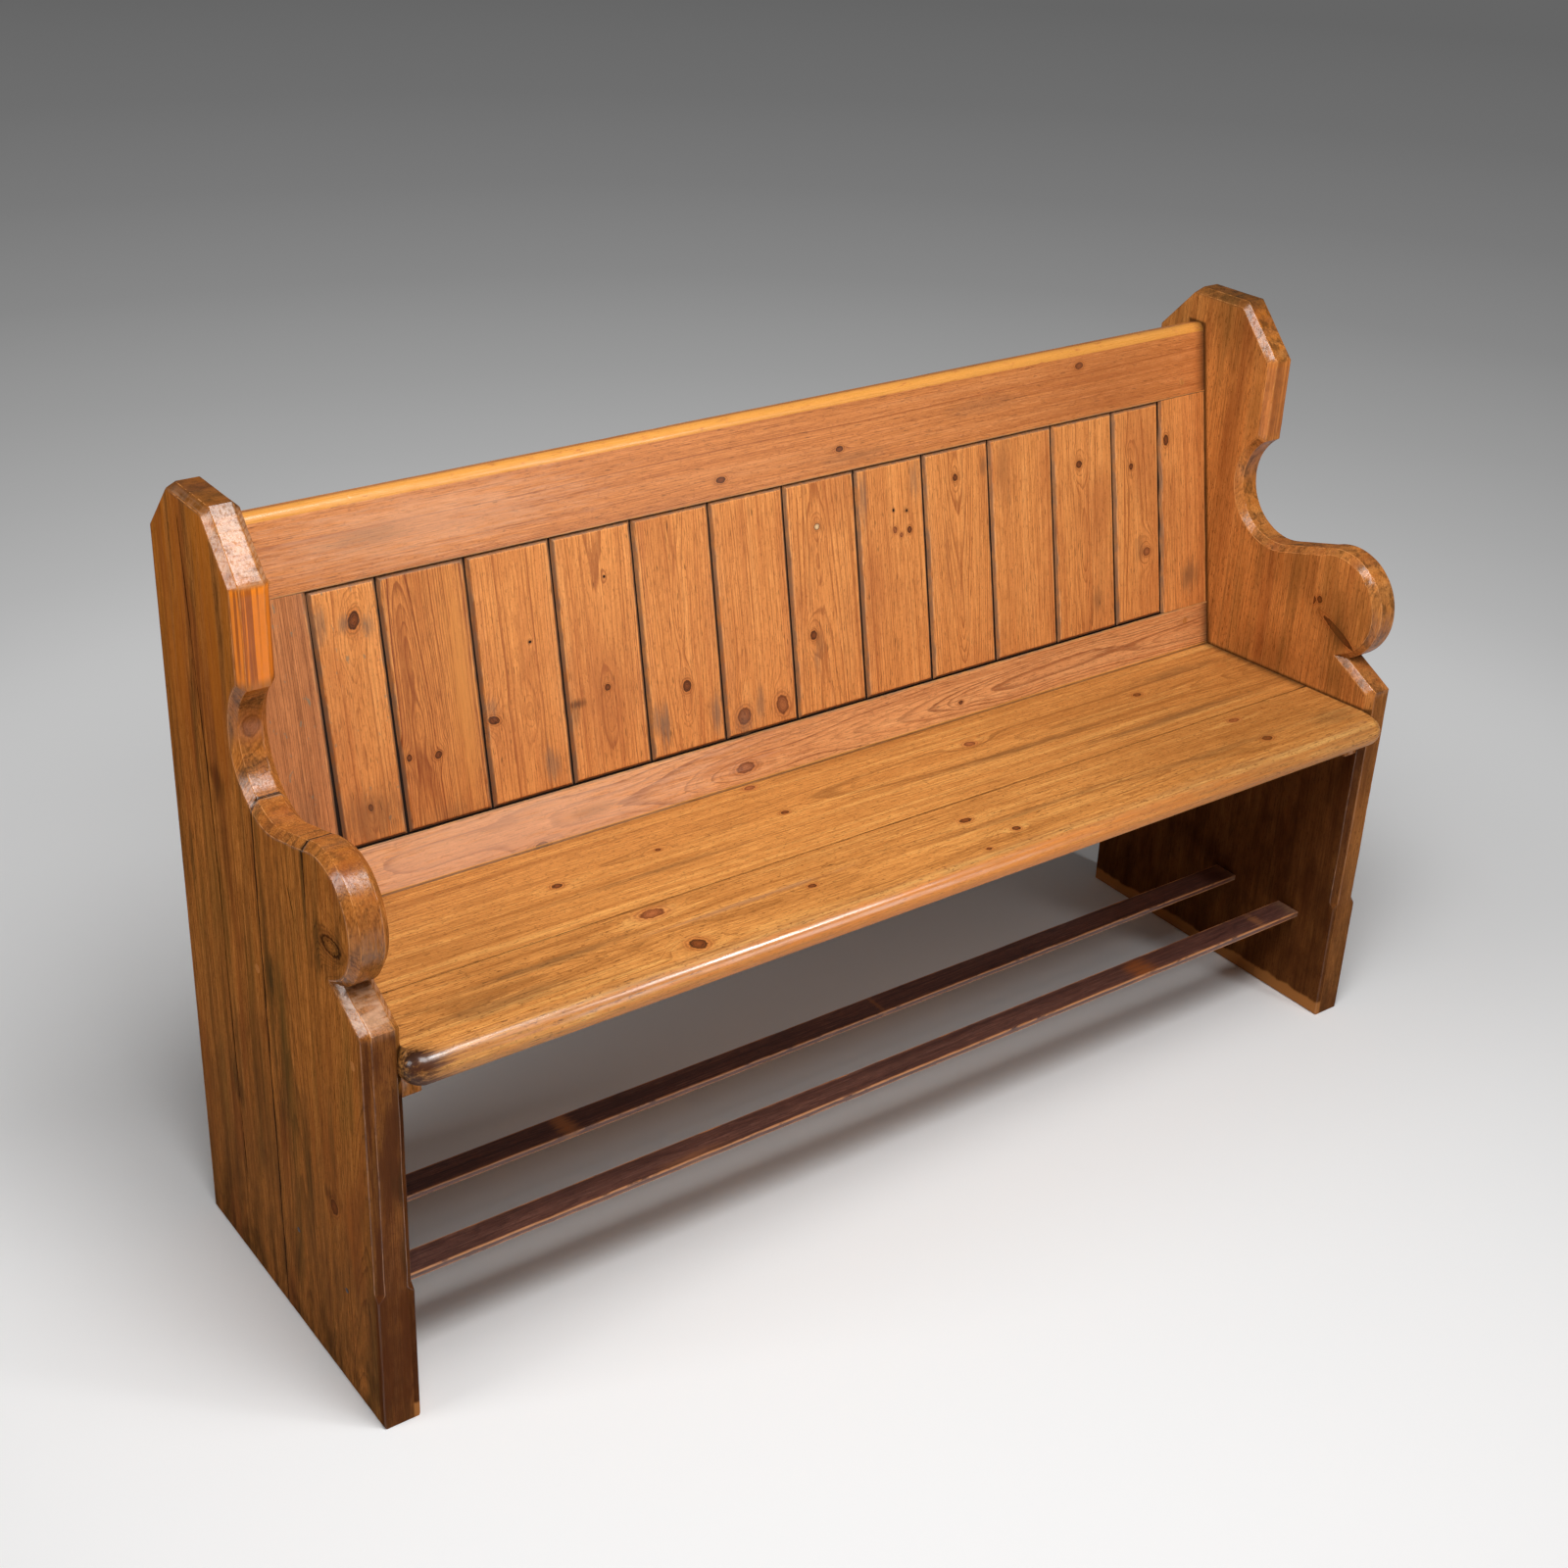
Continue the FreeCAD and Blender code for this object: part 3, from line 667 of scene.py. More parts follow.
@dataclass
class Wood:
    """The material of one board: rings of a log, bent round knots, under stains, painted sheen and shade,
    and wear.
    """

    timber: Timber
    log: Log
    knots: Sequence[Knot] = ()
    patches: Sequence[Blotch] = ()
    graph: Graph = field(init=False)
    paint: Paint = field(init=False)

    def material(self, name: str) -> bpy.types.Material:
        """Builds the material.

        Args:
            name: The material's name.

        Returns:
            The material.
        """
        self.graph = Graph(bpy.data.materials.new(name))
        timber, place = self.timber, self.place()
        seeded = self.shifted(place, 0)
        flow, distances = self.flow(place)
        line, fill = self.rings(flow, seeded)
        fibre = self.fibres(seeded)
        colour = self.tone(line, fill, fibre, flow)
        rough = timber.rough + (fibre - 0.5) * 0.3 - line * 0.06
        height = line * 0.08 + (fibre - 0.5) * 0.3
        paint = self.paint = Paint(self.graph, place, seeded, colour, rough, height)
        self.pores()
        self.paint_knots(distances)
        self.paint_patches()
        self.special()
        fixed = {
            "Coat Weight": self.paint_wear(),
            "Coat Roughness": timber.wax,
            "Coat IOR": timber.wax_index,
            "Specular IOR Level": timber.shine,
        }
        self.graph.surface(paint.colour, paint.rough, paint.height, timber.bump, fixed)
        return self.graph.owner

    def fibres(self, seeded: Value) -> Value:
        """Fine noise drawn out along the fibres: long threads, short ones and a little speckle.

        Args:
            seeded: Place in the noise.

        Returns:
            Values about 0.5.
        """
        graph = self.graph
        long = graph.noise(seeded, (240.0, 1.9, 1.9), 2.0, 0.6)
        short = graph.noise(self.shifted(seeded, 2), (20.0, 1.4, 1.4), 1.0)
        speck = graph.noise(seeded, (2.4, 1.8, 1.8), 1.0)
        return (long + short) * 0.44 + speck * 0.12

    def shifted(self, place: Value, number: int) -> Value:
        """A place moved on to one of the board's own stretches of the noise."""
        step = self.log.seed + 40 * number
        return self.graph.vector("ADD", place, (step * 613.0, step * 271.0, step * 137.0))

    def place(self) -> Value:
        """Where a point lies in the board.

        Returns:
            The place as (along, across, depth) in mm.
        """
        graph = self.graph
        mapped = graph.mapping(
            graph.object_place(),
            Location=tuple(to_frame(np.array(self.log.origin)).tolist()),
            Rotation=(self.log.turn, 0.0, 0.0),
            Scale=(1 / MM_PER_METRE,) * 3,
        )
        parts = graph.split(mapped)
        return graph.join([parts[axis] for axis in self.log.grain.value])

    def flow(self, place: Value) -> tuple[Value, list[tuple[KnotKind, Value]]]:
        """Bends the fibres round every knot.

        Near a knot the place is drawn towards the knot's middle line by a bell curve, so that the
        rings part around it, and is pushed deeper into the log, so that they close above it.

        Args:
            place: Place in the board.

        Returns:
            The bent place, and for each knot its kind and the distance from it in knot sizes.
        """
        graph = self.graph
        bent, distances = place, []
        for knot in self.knots:
            across, wide = (0.0, knot.across), (FAR_OFF, 0.8 * knot.wide)
            if not knot.on_edge:
                across, wide = across[::-1], wide[::-1]
            apart = graph.mapping(
                place,
                Location=(knot.along, *across),
                Rotation=(0.0, 0.0, math.radians(knot.turn)),
                Scale=(0.8 * knot.long, *wide),
            )
            distances.append((knot.kind, graph.vector("LENGTH", apart, out=1)))
            eye = knot.kind is KnotKind.EYE
            eased = graph.vector("MULTIPLY", apart, (1.0, 1.0, 0.0) if eye else (0.22, 0.45, 0.45))
            near = graph.math("EXPONENT", graph.vector("DOT_PRODUCT", eased, eased, out=1) * -1.0)
            aside, deeper = (-0.2, 0.5) if eye else (-0.7, 1.4)
            sideways, down = (0.0, aside * knot.wide, 0.0), (0.0, 0.0, deeper * knot.wide)
            push = graph.vector("MULTIPLY_ADD", apart, sideways, down)
            bent = graph.vector("ADD", bent, graph.scale(push, near))
        return bent, distances

    def rings(self, flow: Value, seeded: Value) -> tuple[Value, Value]:
        """Year rings: the distance from a wandering pith, cut into steps.

        Each ring starts pale, darkens a little and ends in a thin dark line; width and strength vary.

        Args:
            flow: Place in the board, bent round the knots.
            seeded: Place in the noise.

        Returns:
            The thin lines, and the slow darkening before them, both from 0 to 1.
        """
        graph, log = self.graph, self.log
        drift = graph.split(graph.noise(seeded, (420.0, 110.0, 110.0), out=1))
        along, across, depth = graph.split(flow)
        across = across + along * log.lean_across + (drift[0] - 0.5) * (2.0 * log.bend) - log.across
        depth = depth + along * log.lean_depth + (drift[1] - 0.5) * (2.0 * log.bend) - log.depth
        fine = graph.noise(seeded, (130.0, 6.0, 6.0), 3.0, 0.6)
        far = graph.math("SQRT", across * across + depth * depth) + (fine - 0.5) * 1.1
        year = far / self.timber.ring
        sockets = {"W": year * 0.45, "Scale": 1.0, "Detail": 1.0}
        uneven = graph.node("TexNoise", {"noise_dimensions": "1D"}, sockets)
        year = year + Value(graph, uneven.outputs[0]) * 1.6
        part = graph.math("FRACT", year)
        line = part.band((0.58, 0.9, 0.95, 1.0))
        whole = graph.math("FLOOR", year)
        made = graph.node("TexWhiteNoise", {"noise_dimensions": "1D"}, {"W": whole + log.seed * 7.0})
        strength = Value(graph, made.outputs[0])
        return line * (strength * 0.75 + 0.25), part.band((0.1, 0.95, 0.94, 1.0)) * strength

    def tone(self, line: Value, fill: Value, fibre: Value, flow: Value) -> Value:
        """The wood's own colour: rings, long streaks, cloudy patches and fibres.

        Args:
            line: The rings' thin lines.
            fill: The slow darkening before them.
            fibre: Fine noise along the fibres.
            flow: Place in the board, bent round the knots.

        Returns:
            The colour.
        """
        graph, timber = self.graph, self.timber
        place = self.shifted(flow, 1)
        streak = graph.noise(place, (520.0, 11.0, 11.0), 3.0, 0.6)
        cloud = graph.noise(place, (170.0, 70.0, 70.0), 3.0, 0.55)
        colour = graph.mix(fill * timber.fill, timber.early, timber.late)
        grained = line * (fibre * 1.6 + 0.2)
        colour = graph.mix(grained * timber.contrast, colour, timber.late)
        colour = graph.mix(fibre.rise(0.5, 0.32) * (0.7 * timber.fibre), colour, timber.late)
        colour = graph.mix(fibre.rise(0.51, 0.68) * (0.8 * timber.fibre), colour, timber.pale)
        colour = graph.mix(streak.rise(0.5, 0.75) * timber.streaks, colour, timber.deep)
        colour = graph.mix(streak.rise(0.48, 0.25) * timber.pale_streaks, colour, timber.pale)
        colour = graph.mix(cloud.rise(0.45, 0.75) * timber.blotches, colour, timber.deep)
        shade = (fibre - 0.5) * (1.1 * timber.fibre) + (cloud - 0.5) * (-0.3 * timber.blotches) + 1.0
        return graph.mix(1.0, colour, graph.join([shade, shade, shade]), "MULTIPLY")

    def pores(self) -> None:
        """Lays short dark dashes along the fibres, a few dents, flecks and specks."""
        graph, timber, paint, seeded = self.graph, self.timber, self.paint, self.paint.seeded
        dash = graph.noise(seeded, (16.0, 1.5, 1.5), 1.0).rise(0.66, 0.76)
        dent = graph.noise(seeded, (19.0, 13.0, 13.0)).rise(0.7, 0.82)
        paint.lay(dash * timber.pores, timber.dirt_and_shade)
        paint.lay(dent * (0.4 * timber.pores), timber.deep)
        fleck = graph.noise(self.shifted(seeded, 6), (6.0, 2.4, 2.4), 3.0, 0.65).rise(0.54, 0.72)
        paint.lay(fleck * timber.flecks, timber.late)
        if timber.specks:
            speck = graph.noise(seeded, (12.0, 6.0, 6.0)).rise(0.66, 0.74)
            paint.lay(speck * timber.specks, timber.speck)
        paint.height = paint.height - dash * 0.12 - dent * 0.35

    def paint_knots(self, distances: list[tuple[KnotKind, Value]]) -> None:
        """Lays the knots over the wood: a halo, a dark rim, a middle with rings and cracks.

        Args:
            distances: For each knot its kind and the distance from it in knot sizes.
        """
        if not distances:
            return
        graph, paint = self.graph, self.paint
        ragged = graph.noise(paint.seeded, (5.0, 4.0, 4.0), 3.0, 0.6)
        for kind in KnotKind:
            near = [value for own, value in distances if own is kind]
            if not near or kind is KnotKind.EYE:
                continue
            far = near[0]
            for value in near[1:]:
                far = far.least(value)
            far = far + (ragged - 0.5) * 0.6
            middle, rim, halo = kind.value
            turns = graph.math("SINE", far * 19.0 + ragged * 4.0) * 0.5 + 0.5
            core = graph.mix(turns * 0.35 + far.rise(0.1, 0.8) * 0.35, middle, rim)
            core = graph.mix(ragged.rise(0.56, 0.68) * 0.7, core, rim)
            round_it = graph.math("SINE", far * 12.0 + ragged * 3.0) * 0.5 + 0.5
            paint.lay(far.rise(2.4, 1.1) * 0.5, halo)
            paint.lay(far.rise(2.6, 1.2) * round_it * 0.45, rim)
            paint.lay(far.rise(1.25, 1.0) * 0.9, rim)
            paint.lay(far.rise(0.95, 0.75), core)
            sunk = 1.2 if kind is KnotKind.HOLE else 0.25
            paint.height = paint.height - far.rise(1.1, 0.85) * sunk + far.rise(1.9, 1.1) * 0.3
            paint.rough = paint.rough + far.rise(1.1, 0.9) * 0.08

    def paint_patches(self) -> None:
        """Lays the blotches over the wood, frayed along the fibres: stains, and on some boards painted sheen
        and painted shade.
        """
        if not self.patches:
            return
        graph, paint = self.graph, self.paint
        frayed = graph.noise(paint.seeded, (38.0, 3.2, 3.2), 4.0, 0.65)
        for stain in self.patches:
            apart = graph.mapping(
                paint.place,
                Location=(stain.along, stain.across, 0.0),
                Scale=(stain.long, stain.wide, FAR_OFF),
            )
            far = graph.vector("LENGTH", apart, out=1) + (frayed - 0.5) * 2.2
            share = far.rise(1.2, 0.1) * stain.strength
            paint.lay(share, stain.colour)
            paint.rough = paint.rough + share * 0.08

    def special(self) -> None:
        """A step for kinds of board that have marks of their own; a plain board has none."""

    def paint_wear(self) -> Value:
        """Rubs the arrises paler, dusts what lies back with painted shade on the bevels, blackens the gaps
        and paints shade along contacts, as the mesh says.

        Returns:
            The weight of the wax.
        """
        graph, timber, paint, seeded = self.graph, self.timber, self.paint, self.paint.seeded
        patchy = graph.noise(seeded, (24.0, 9.0, 9.0), 4.0, 0.65)
        wear, grime_and_shade = graph.attribute("wear"), graph.attribute("grime_and_shade")
        rubbed = wear.rise(0.5, 1.0) * patchy.rise(timber.arris_gaps, timber.arris_gaps + 0.18)
        # The dusting is real dust on seams and, on the board and stile bevels, painted shade.
        dust_and_shade = grime_and_shade.rise(0.05, 0.45) * (patchy.rise(0.3, 0.62) * 0.6 + 0.25)
        paint.lay(rubbed * timber.arris_share, timber.arris)
        paint.lay(dust_and_shade, timber.dust_and_shade_colour)
        paint.lay(grime_and_shade.rise(0.55, 0.95), timber.dirt_and_shade)
        # Negative values paint shade along the contacts between parts.
        paint.lay(grime_and_shade.rise(-0.15, -0.9) * 0.9, timber.dirt_and_shade)
        paint.rough = paint.rough - wear * 0.08 + dust_and_shade * 0.2
        polish = graph.noise(seeded, (70.0, 2.4, 2.4), 2.0, 0.6).rise(0.3, 0.56) * 0.7 + 0.3
        waxed = wear * wear.rise(1.0, 0.5) * polish
        return (waxed * timber.edge_coat + timber.coat).least(1.0) * (1.0 - grime_and_shade.rise(0.3, 0.8))


@dataclass(frozen=True)
class EndMarks:
    """Where a point of an end board lies, and the noises that several of its marks share."""

    along: Value
    across: Value
    inside: Value
    outside: Value
    uneven: Value
    streak: Value
    thread: Value


@dataclass
class EndWood(Wood):
    """The wood of an end: smoky streaks, a dark stain with painted shade inside below the seat, a painted
    sheen on the sawn slopes, and bare along the foot.

    A zone is four heights in mm: a mark comes in between the first two and goes between the last two.
    """

    side: float = -1.0
    smoke: float = 0.6
    front_dark: float = 0.0
    shakes: Sequence[Sequence[tuple[float, float]]] = ()
    soot: Colour = srgb(58, 40, 20)
    glow: Colour = srgb(182, 102, 42)
    ruddy: Colour = srgb(134, 66, 30)
    olive: Colour = srgb(102, 76, 34)
    inner_low_stain_and_shade: Colour = srgb(58, 27, 14)
    front_colour: Colour = srgb(84, 44, 22)
    bare: Colour = srgb(172, 112, 60)
    bare_height: float = 19.0
    handled: float = 0.35
    # A pale sheen painted on the slope and shoulder chamfers.
    slope_sheen: float = 0.0
    slope_sheen_colour: Colour = srgb(204, 160, 126)
    slope_zone: Sequence[float] = (846.0, 852.0, 907.0, 913.0)
    shoulder_zone: Sequence[float] = (482.0, 486.0, 508.0, 516.0)
    post_glow: float = 0.0
    post_colour: Colour = srgb(252, 138, 32)
    post_line: Colour = srgb(138, 62, 20)
    post_zone: Sequence[float] = (744.0, 756.0, 844.0, 850.0)
    back_zone: Sequence[float] = (420.0, 440.0, 868.0, 872.0)
    low_tone: Colour = srgb(80, 56, 38)
    high_tone: Colour = srgb(198, 112, 26)
    marks: EndMarks = field(init=False)

    def special(self) -> None:
        """Lays the marks of an end, one kind after another."""
        graph, paint, seeded = self.graph, self.paint, self.paint.seeded
        along, across, depth = graph.split(paint.place)
        inside = (depth * self.side).rise(BENCH.inner + 9.0, BENCH.inner + 6.0)
        uneven = graph.noise(seeded, (60.0, 25.0, 25.0), 3.0, 0.6)
        streak = graph.noise(self.shifted(seeded, 3), (330.0, 13.0, 60.0), 4.0, 0.62)
        thread = graph.noise(self.shifted(seeded, 4), (120.0, 4.0, 30.0), 3.0, 0.6)
        self.marks = EndMarks(along, across, inside, 1.0 - inside, uneven, streak, thread)
        self.smoke_faces()
        self.rub_edges()
        self.soil()
        if self.front_dark:
            self.darken_front()
        for line in self.shakes:
            split = self.shake(line) * self.marks.outside
            paint.lay(split * 0.85, self.timber.dirt_and_shade)
            paint.height = paint.height - split * 0.8

    def smoke_faces(self) -> None:
        """Streaks and clouds the faces, and makes the outer one duller low down and warmer high up."""
        paint, marks = self.paint, self.marks
        streak, outside = marks.streak, marks.outside
        paint.lay(streak.rise(0.42, 0.26) * 0.55, self.glow)
        paint.lay(streak.rise(0.5, 0.7) * self.smoke, self.soot)
        paint.lay(marks.thread.rise(0.55, 0.7) * (0.4 * self.smoke), self.soot)
        cloud = self.graph.noise(self.shifted(paint.seeded, 5), (260.0, 42.0, 60.0))
        paint.lay(cloud.rise(0.52, 0.68) * (0.95 * self.smoke), self.ruddy)
        paint.lay(cloud.rise(0.46, 0.3) * (0.7 * self.smoke), self.olive)
        paint.lay(marks.along.rise(520.0, 90.0) * outside * (marks.uneven * 0.6 + 0.2), self.low_tone)
        high = marks.along.rise(520.0, 760.0) * outside
        paint.lay(high * (streak.rise(0.6, 0.4) * 0.4), self.high_tone)

    def rub_edges(self) -> None:
        """Reddens and soots the chamfers, paints a pale sheen with sawn hatch on the slope and shoulder
        chamfers, and lets the post glow.
        """
        paint, marks = self.paint, self.marks
        graph, seeded, along = self.graph, paint.seeded, marks.along
        belt = graph.attribute("wear").band((0.12, 0.28, 0.4, 0.6))
        paint.lay(belt * marks.uneven.rise(0.56, 0.4) * 0.2, self.ruddy)
        fine = graph.noise(seeded, (22.0, 12.0, 12.0), 4.0, 0.65)
        paint.lay(belt * fine.rise(0.46, 0.66) * self.handled, self.soot)
        shoulder = along.band(self.shoulder_zone) * marks.across.rise(62.0, 56.0)
        sawn = graph.noise(seeded, (2.6, 60.0, 30.0), 1.0).rise(0.4, 0.58)
        rubbed = fine.rise(0.62, 0.4) * 0.4 + sawn * 0.7
        # The pale colour on the slope and shoulder chamfers is a painted sheen, broken by sawn hatch.
        worn = belt * (along.band(self.slope_zone) + shoulder) * rubbed
        paint.lay(worn * self.slope_sheen, self.slope_sheen_colour)
        line = graph.noise(self.shifted(seeded, 7), (300.0, 4.2, 4.2), 2.0, 0.55).rise(0.45, 0.58)
        lined = graph.mix(line * 0.85, self.post_colour, self.post_line)
        paint.lay(belt * along.band(self.post_zone) * self.post_glow, lined)

    def soil(self) -> None:
        """Paints shade at seat and back, soils the outer foot and the top, darkens the inside below the seat
        with stain and painted shade, and bares the inner foot.
        """
        paint, marks = self.paint, self.marks
        along, across, inside, uneven = marks.along, marks.across, marks.inside, marks.uneven
        over_seat = along - (BENCH.seat_height - across * math.tan(BENCH.seat_tilt))
        cos, sin = math.cos(BENCH.back_rake), math.sin(BENCH.back_rake)
        behind = (across - BENCH.back_u) * cos - (along - BENCH.back_level) * sin
        # Painted shade on the inner face along the seat and the back.
        back_shade = behind.band((-6.0, -1.0, 24.0, 27.0)) * along.band(self.back_zone)
        seat_shade = over_seat.band((-40.0, -36.0, 0.5, 5.0))
        contact = self.graph.math("MAXIMUM", seat_shade, back_shade)
        paint.lay(contact * inside * 0.75, self.timber.dirt_and_shade)
        kicked = along.rise(150.0, 0.0) * marks.outside * uneven.rise(0.4, 0.65)
        paint.lay(kicked * 0.6, self.soot)
        # Dark stain with painted shade on the inner face below the seat.
        paint.lay(along.rise(416.0, 400.0) * inside * (uneven * 0.4 + 0.66), self.inner_low_stain_and_shade)
        ragged = along + (uneven - 0.5) * 14.0
        foot = ragged.rise(self.bare_height + 2.0, self.bare_height - 3.0) * inside
        paint.lay(foot * 0.9, self.bare)
        paint.lay(along.rise(900.0, 908.0) * (uneven * 0.8 + 0.3) * 0.75, self.soot)

    def darken_front(self) -> None:
        """Darkens the front of the leg below the shoulder, in threads and streaks."""
        paint, marks = self.paint, self.marks
        front = marks.across.rise(12.0, 6.0) * marks.along.rise(484.0, 474.0) * marks.outside
        share = (marks.thread.rise(0.35, 0.6) * 0.5 + 0.5) * self.front_dark
        paint.lay(front * share, self.front_colour)
        paint.lay(front * marks.streak.rise(0.52, 0.62) * 0.5, self.soot)

    def shake(self, line: Sequence[tuple[float, float]]) -> Value:
        """A split along the fibres that follows a line of points (across, along).

        The line is a curve of across over along, and the split is where a point lies within a
        width that thins out towards the line's ends.

        Args:
            line: Points of the split from its top down.

        Returns:
            How open the split is, from 0 to 1.
        """
        graph, along, uneven = self.graph, self.marks.along, self.marks.uneven
        low, high = line[-1][1], line[0][1]
        made = graph.node("FloatCurve", {}, {"Value": (along - low) / (high - low)})
        curve = made.mapping.curves[0]
        spread = 100.0
        first = min(p[0] for p in line) - 10.0
        spots = sorted(((z - low) / (high - low), (u - first) / spread) for u, z in line)
        curve.points[0].location, curve.points[1].location = spots[0], spots[-1]
        for spot in spots[1:-1]:
            curve.points.new(*spot)
        made.mapping.update()
        middle = Value(graph, made.outputs[0]) * spread + first
        apart = graph.math("ABSOLUTE", self.marks.across - middle + (uneven - 0.5) * 3.0)
        width = uneven.rise(0.4, 0.6) + 0.25
        return (apart / width).rise(1.6, 0.7) * along.band((low, low + 40.0, high - 25.0, high))


@dataclass(frozen=True)
class Piece:
    """One finished board: the model node that it stands for, its surface, its wood and its slot."""

    node: str
    shell: Shell
    wood: Wood
    slot: str

    def add(self) -> None:
        """Makes the mesh, gives it its material and lets it ride on the bench's one body."""
        name = self.node + "_wood"
        material = self.wood.material(self.node)
        mesh = bpy.data.meshes.new(name)
        mesh.from_pydata(to_frame(self.shell.points), [], self.shell.faces)
        mesh.polygons.foreach_set("use_smooth", self.shell.smooth)
        for value in ("wear", "grime_and_shade"):
            numbers = np.ascontiguousarray(getattr(self.shell, value), np.float32)
            mesh.attributes.new(value, "FLOAT", "POINT").data.foreach_set("value", numbers)
        self.close(mesh)
        mesh.materials.append(material)
        made = bpy.data.objects.new(name, mesh)
        bpy.context.scene.collection.objects.link(made)
        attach(made, "root")
        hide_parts(self.node)
        LOG.info("built %s: %d faces", name, len(mesh.polygons))

    @staticmethod
    def close(mesh: bpy.types.Mesh) -> None:
        """Merges points that coincide, turns every face outwards and keeps hard corners sharp.

        Args:
            mesh: The mesh to mend.
        """
        work = bmesh.new()
        work.from_mesh(mesh)
        bmesh.ops.remove_doubles(work, verts=work.verts, dist=MERGE)
        bmesh.ops.dissolve_degenerate(work, edges=work.edges, dist=SLIVER)
        bmesh.ops.recalc_face_normals(work, faces=work.faces)
        work.to_mesh(mesh)
        work.free()
        mesh.set_sharp_from_angle(angle=SHARP)
        mesh.update()


BACK_PINE = Timber(
    early=srgb(224, 145, 77), late=srgb(146, 74, 34), deep=srgb(184, 104, 54), pale=srgb(240, 168, 98),
    ring=2.4, contrast=0.7, fill=0.25, blotches=0.5, fibre=0.65, pores=0.6, flecks=0.45, shine=0.2,
    coat=0.03,
)
FLAME_PINE = Timber(
    early=srgb(212, 134, 70), late=srgb(112, 46, 22), deep=srgb(166, 86, 42), pale=srgb(228, 154, 82),
    ring=2.4, contrast=0.95, fill=0.5, shine=0.2, coat=0.03,
)
STILE_PINE = Timber(
    early=srgb(196, 124, 72), late=srgb(104, 52, 26), deep=srgb(150, 86, 46), pale=srgb(210, 140, 86),
    ring=2.2, contrast=0.85, fill=0.3, specks=0.7,
)
RAIL_PINE = Timber(
    early=srgb(208, 130, 69), late=srgb(138, 70, 34), deep=srgb(172, 96, 48), pale=srgb(226, 154, 96),
    ring=1.9, contrast=0.55, fill=0.15, streaks=0.5, fibre=0.55, pores=0.5, flecks=0.45, rough=0.36,
    coat=0.1, shine=0.5, edge_coat=0.0, arris=srgb(236, 166, 72), arris_share=0.6, arris_gaps=0.26,
)
BASE_PINE = replace(
    RAIL_PINE, early=srgb(230, 158, 98), late=srgb(140, 76, 40), deep=srgb(190, 114, 62),
    pale=srgb(242, 184, 124), ring=2.6, contrast=0.8, fill=0.3, fibre=0.7,
)
SEAT_PINE = Timber(
    early=srgb(205, 138, 70), late=srgb(118, 70, 30), deep=srgb(158, 98, 44), pale=srgb(236, 178, 100),
    ring=2.0, contrast=0.4, fill=0.2, streaks=0.7, pale_streaks=0.75, fibre=0.6, pores=0.7, rough=0.4,
    coat=0.06, shine=0.15, flecks=0.8, edge_coat=3.3, wax=0.21, wax_index=2.35,
)
END_PINE = Timber(
    early=srgb(184, 112, 50), late=srgb(92, 52, 24), deep=srgb(116, 70, 34), pale=srgb(204, 134, 66),
    ring=1.9, contrast=0.7, fill=0.2, streaks=0.7, blotches=0.4, fibre=0.9, pores=0.65, flecks=0.6,
    arris=srgb(220, 150, 88), arris_share=0.6, dirt_and_shade=srgb(26, 14, 8), rough=0.45, shine=0.0, coat=0.0,
    edge_coat=2.4, wax_index=1.6,
)
INNER_PINE = replace(
    END_PINE, early=srgb(206, 132, 66), late=srgb(104, 58, 26), deep=srgb(158, 94, 44),
    pale=srgb(220, 150, 82), contrast=0.35, streaks=0.5, fibre=0.6, flecks=0.7,
)
LATH_PINE = Timber(
    early=srgb(108, 70, 60), late=srgb(56, 34, 32), deep=srgb(50, 32, 32), pale=srgb(144, 102, 88),
    ring=1.6, contrast=0.6, fibre=0.9, arris=srgb(206, 140, 90), arris_share=0.9, arris_gaps=0.3,
    flecks=0.6, rough=0.4, shine=0.4, coat=0.25, wax=0.35, edge_coat=0.0,
)
PEG_PINE = Timber(
    early=srgb(196, 128, 68), late=srgb(140, 80, 40), deep=srgb(120, 70, 38), pale=srgb(212, 148, 88),
    ring=1.4, shine=0.0, coat=0.0,
)


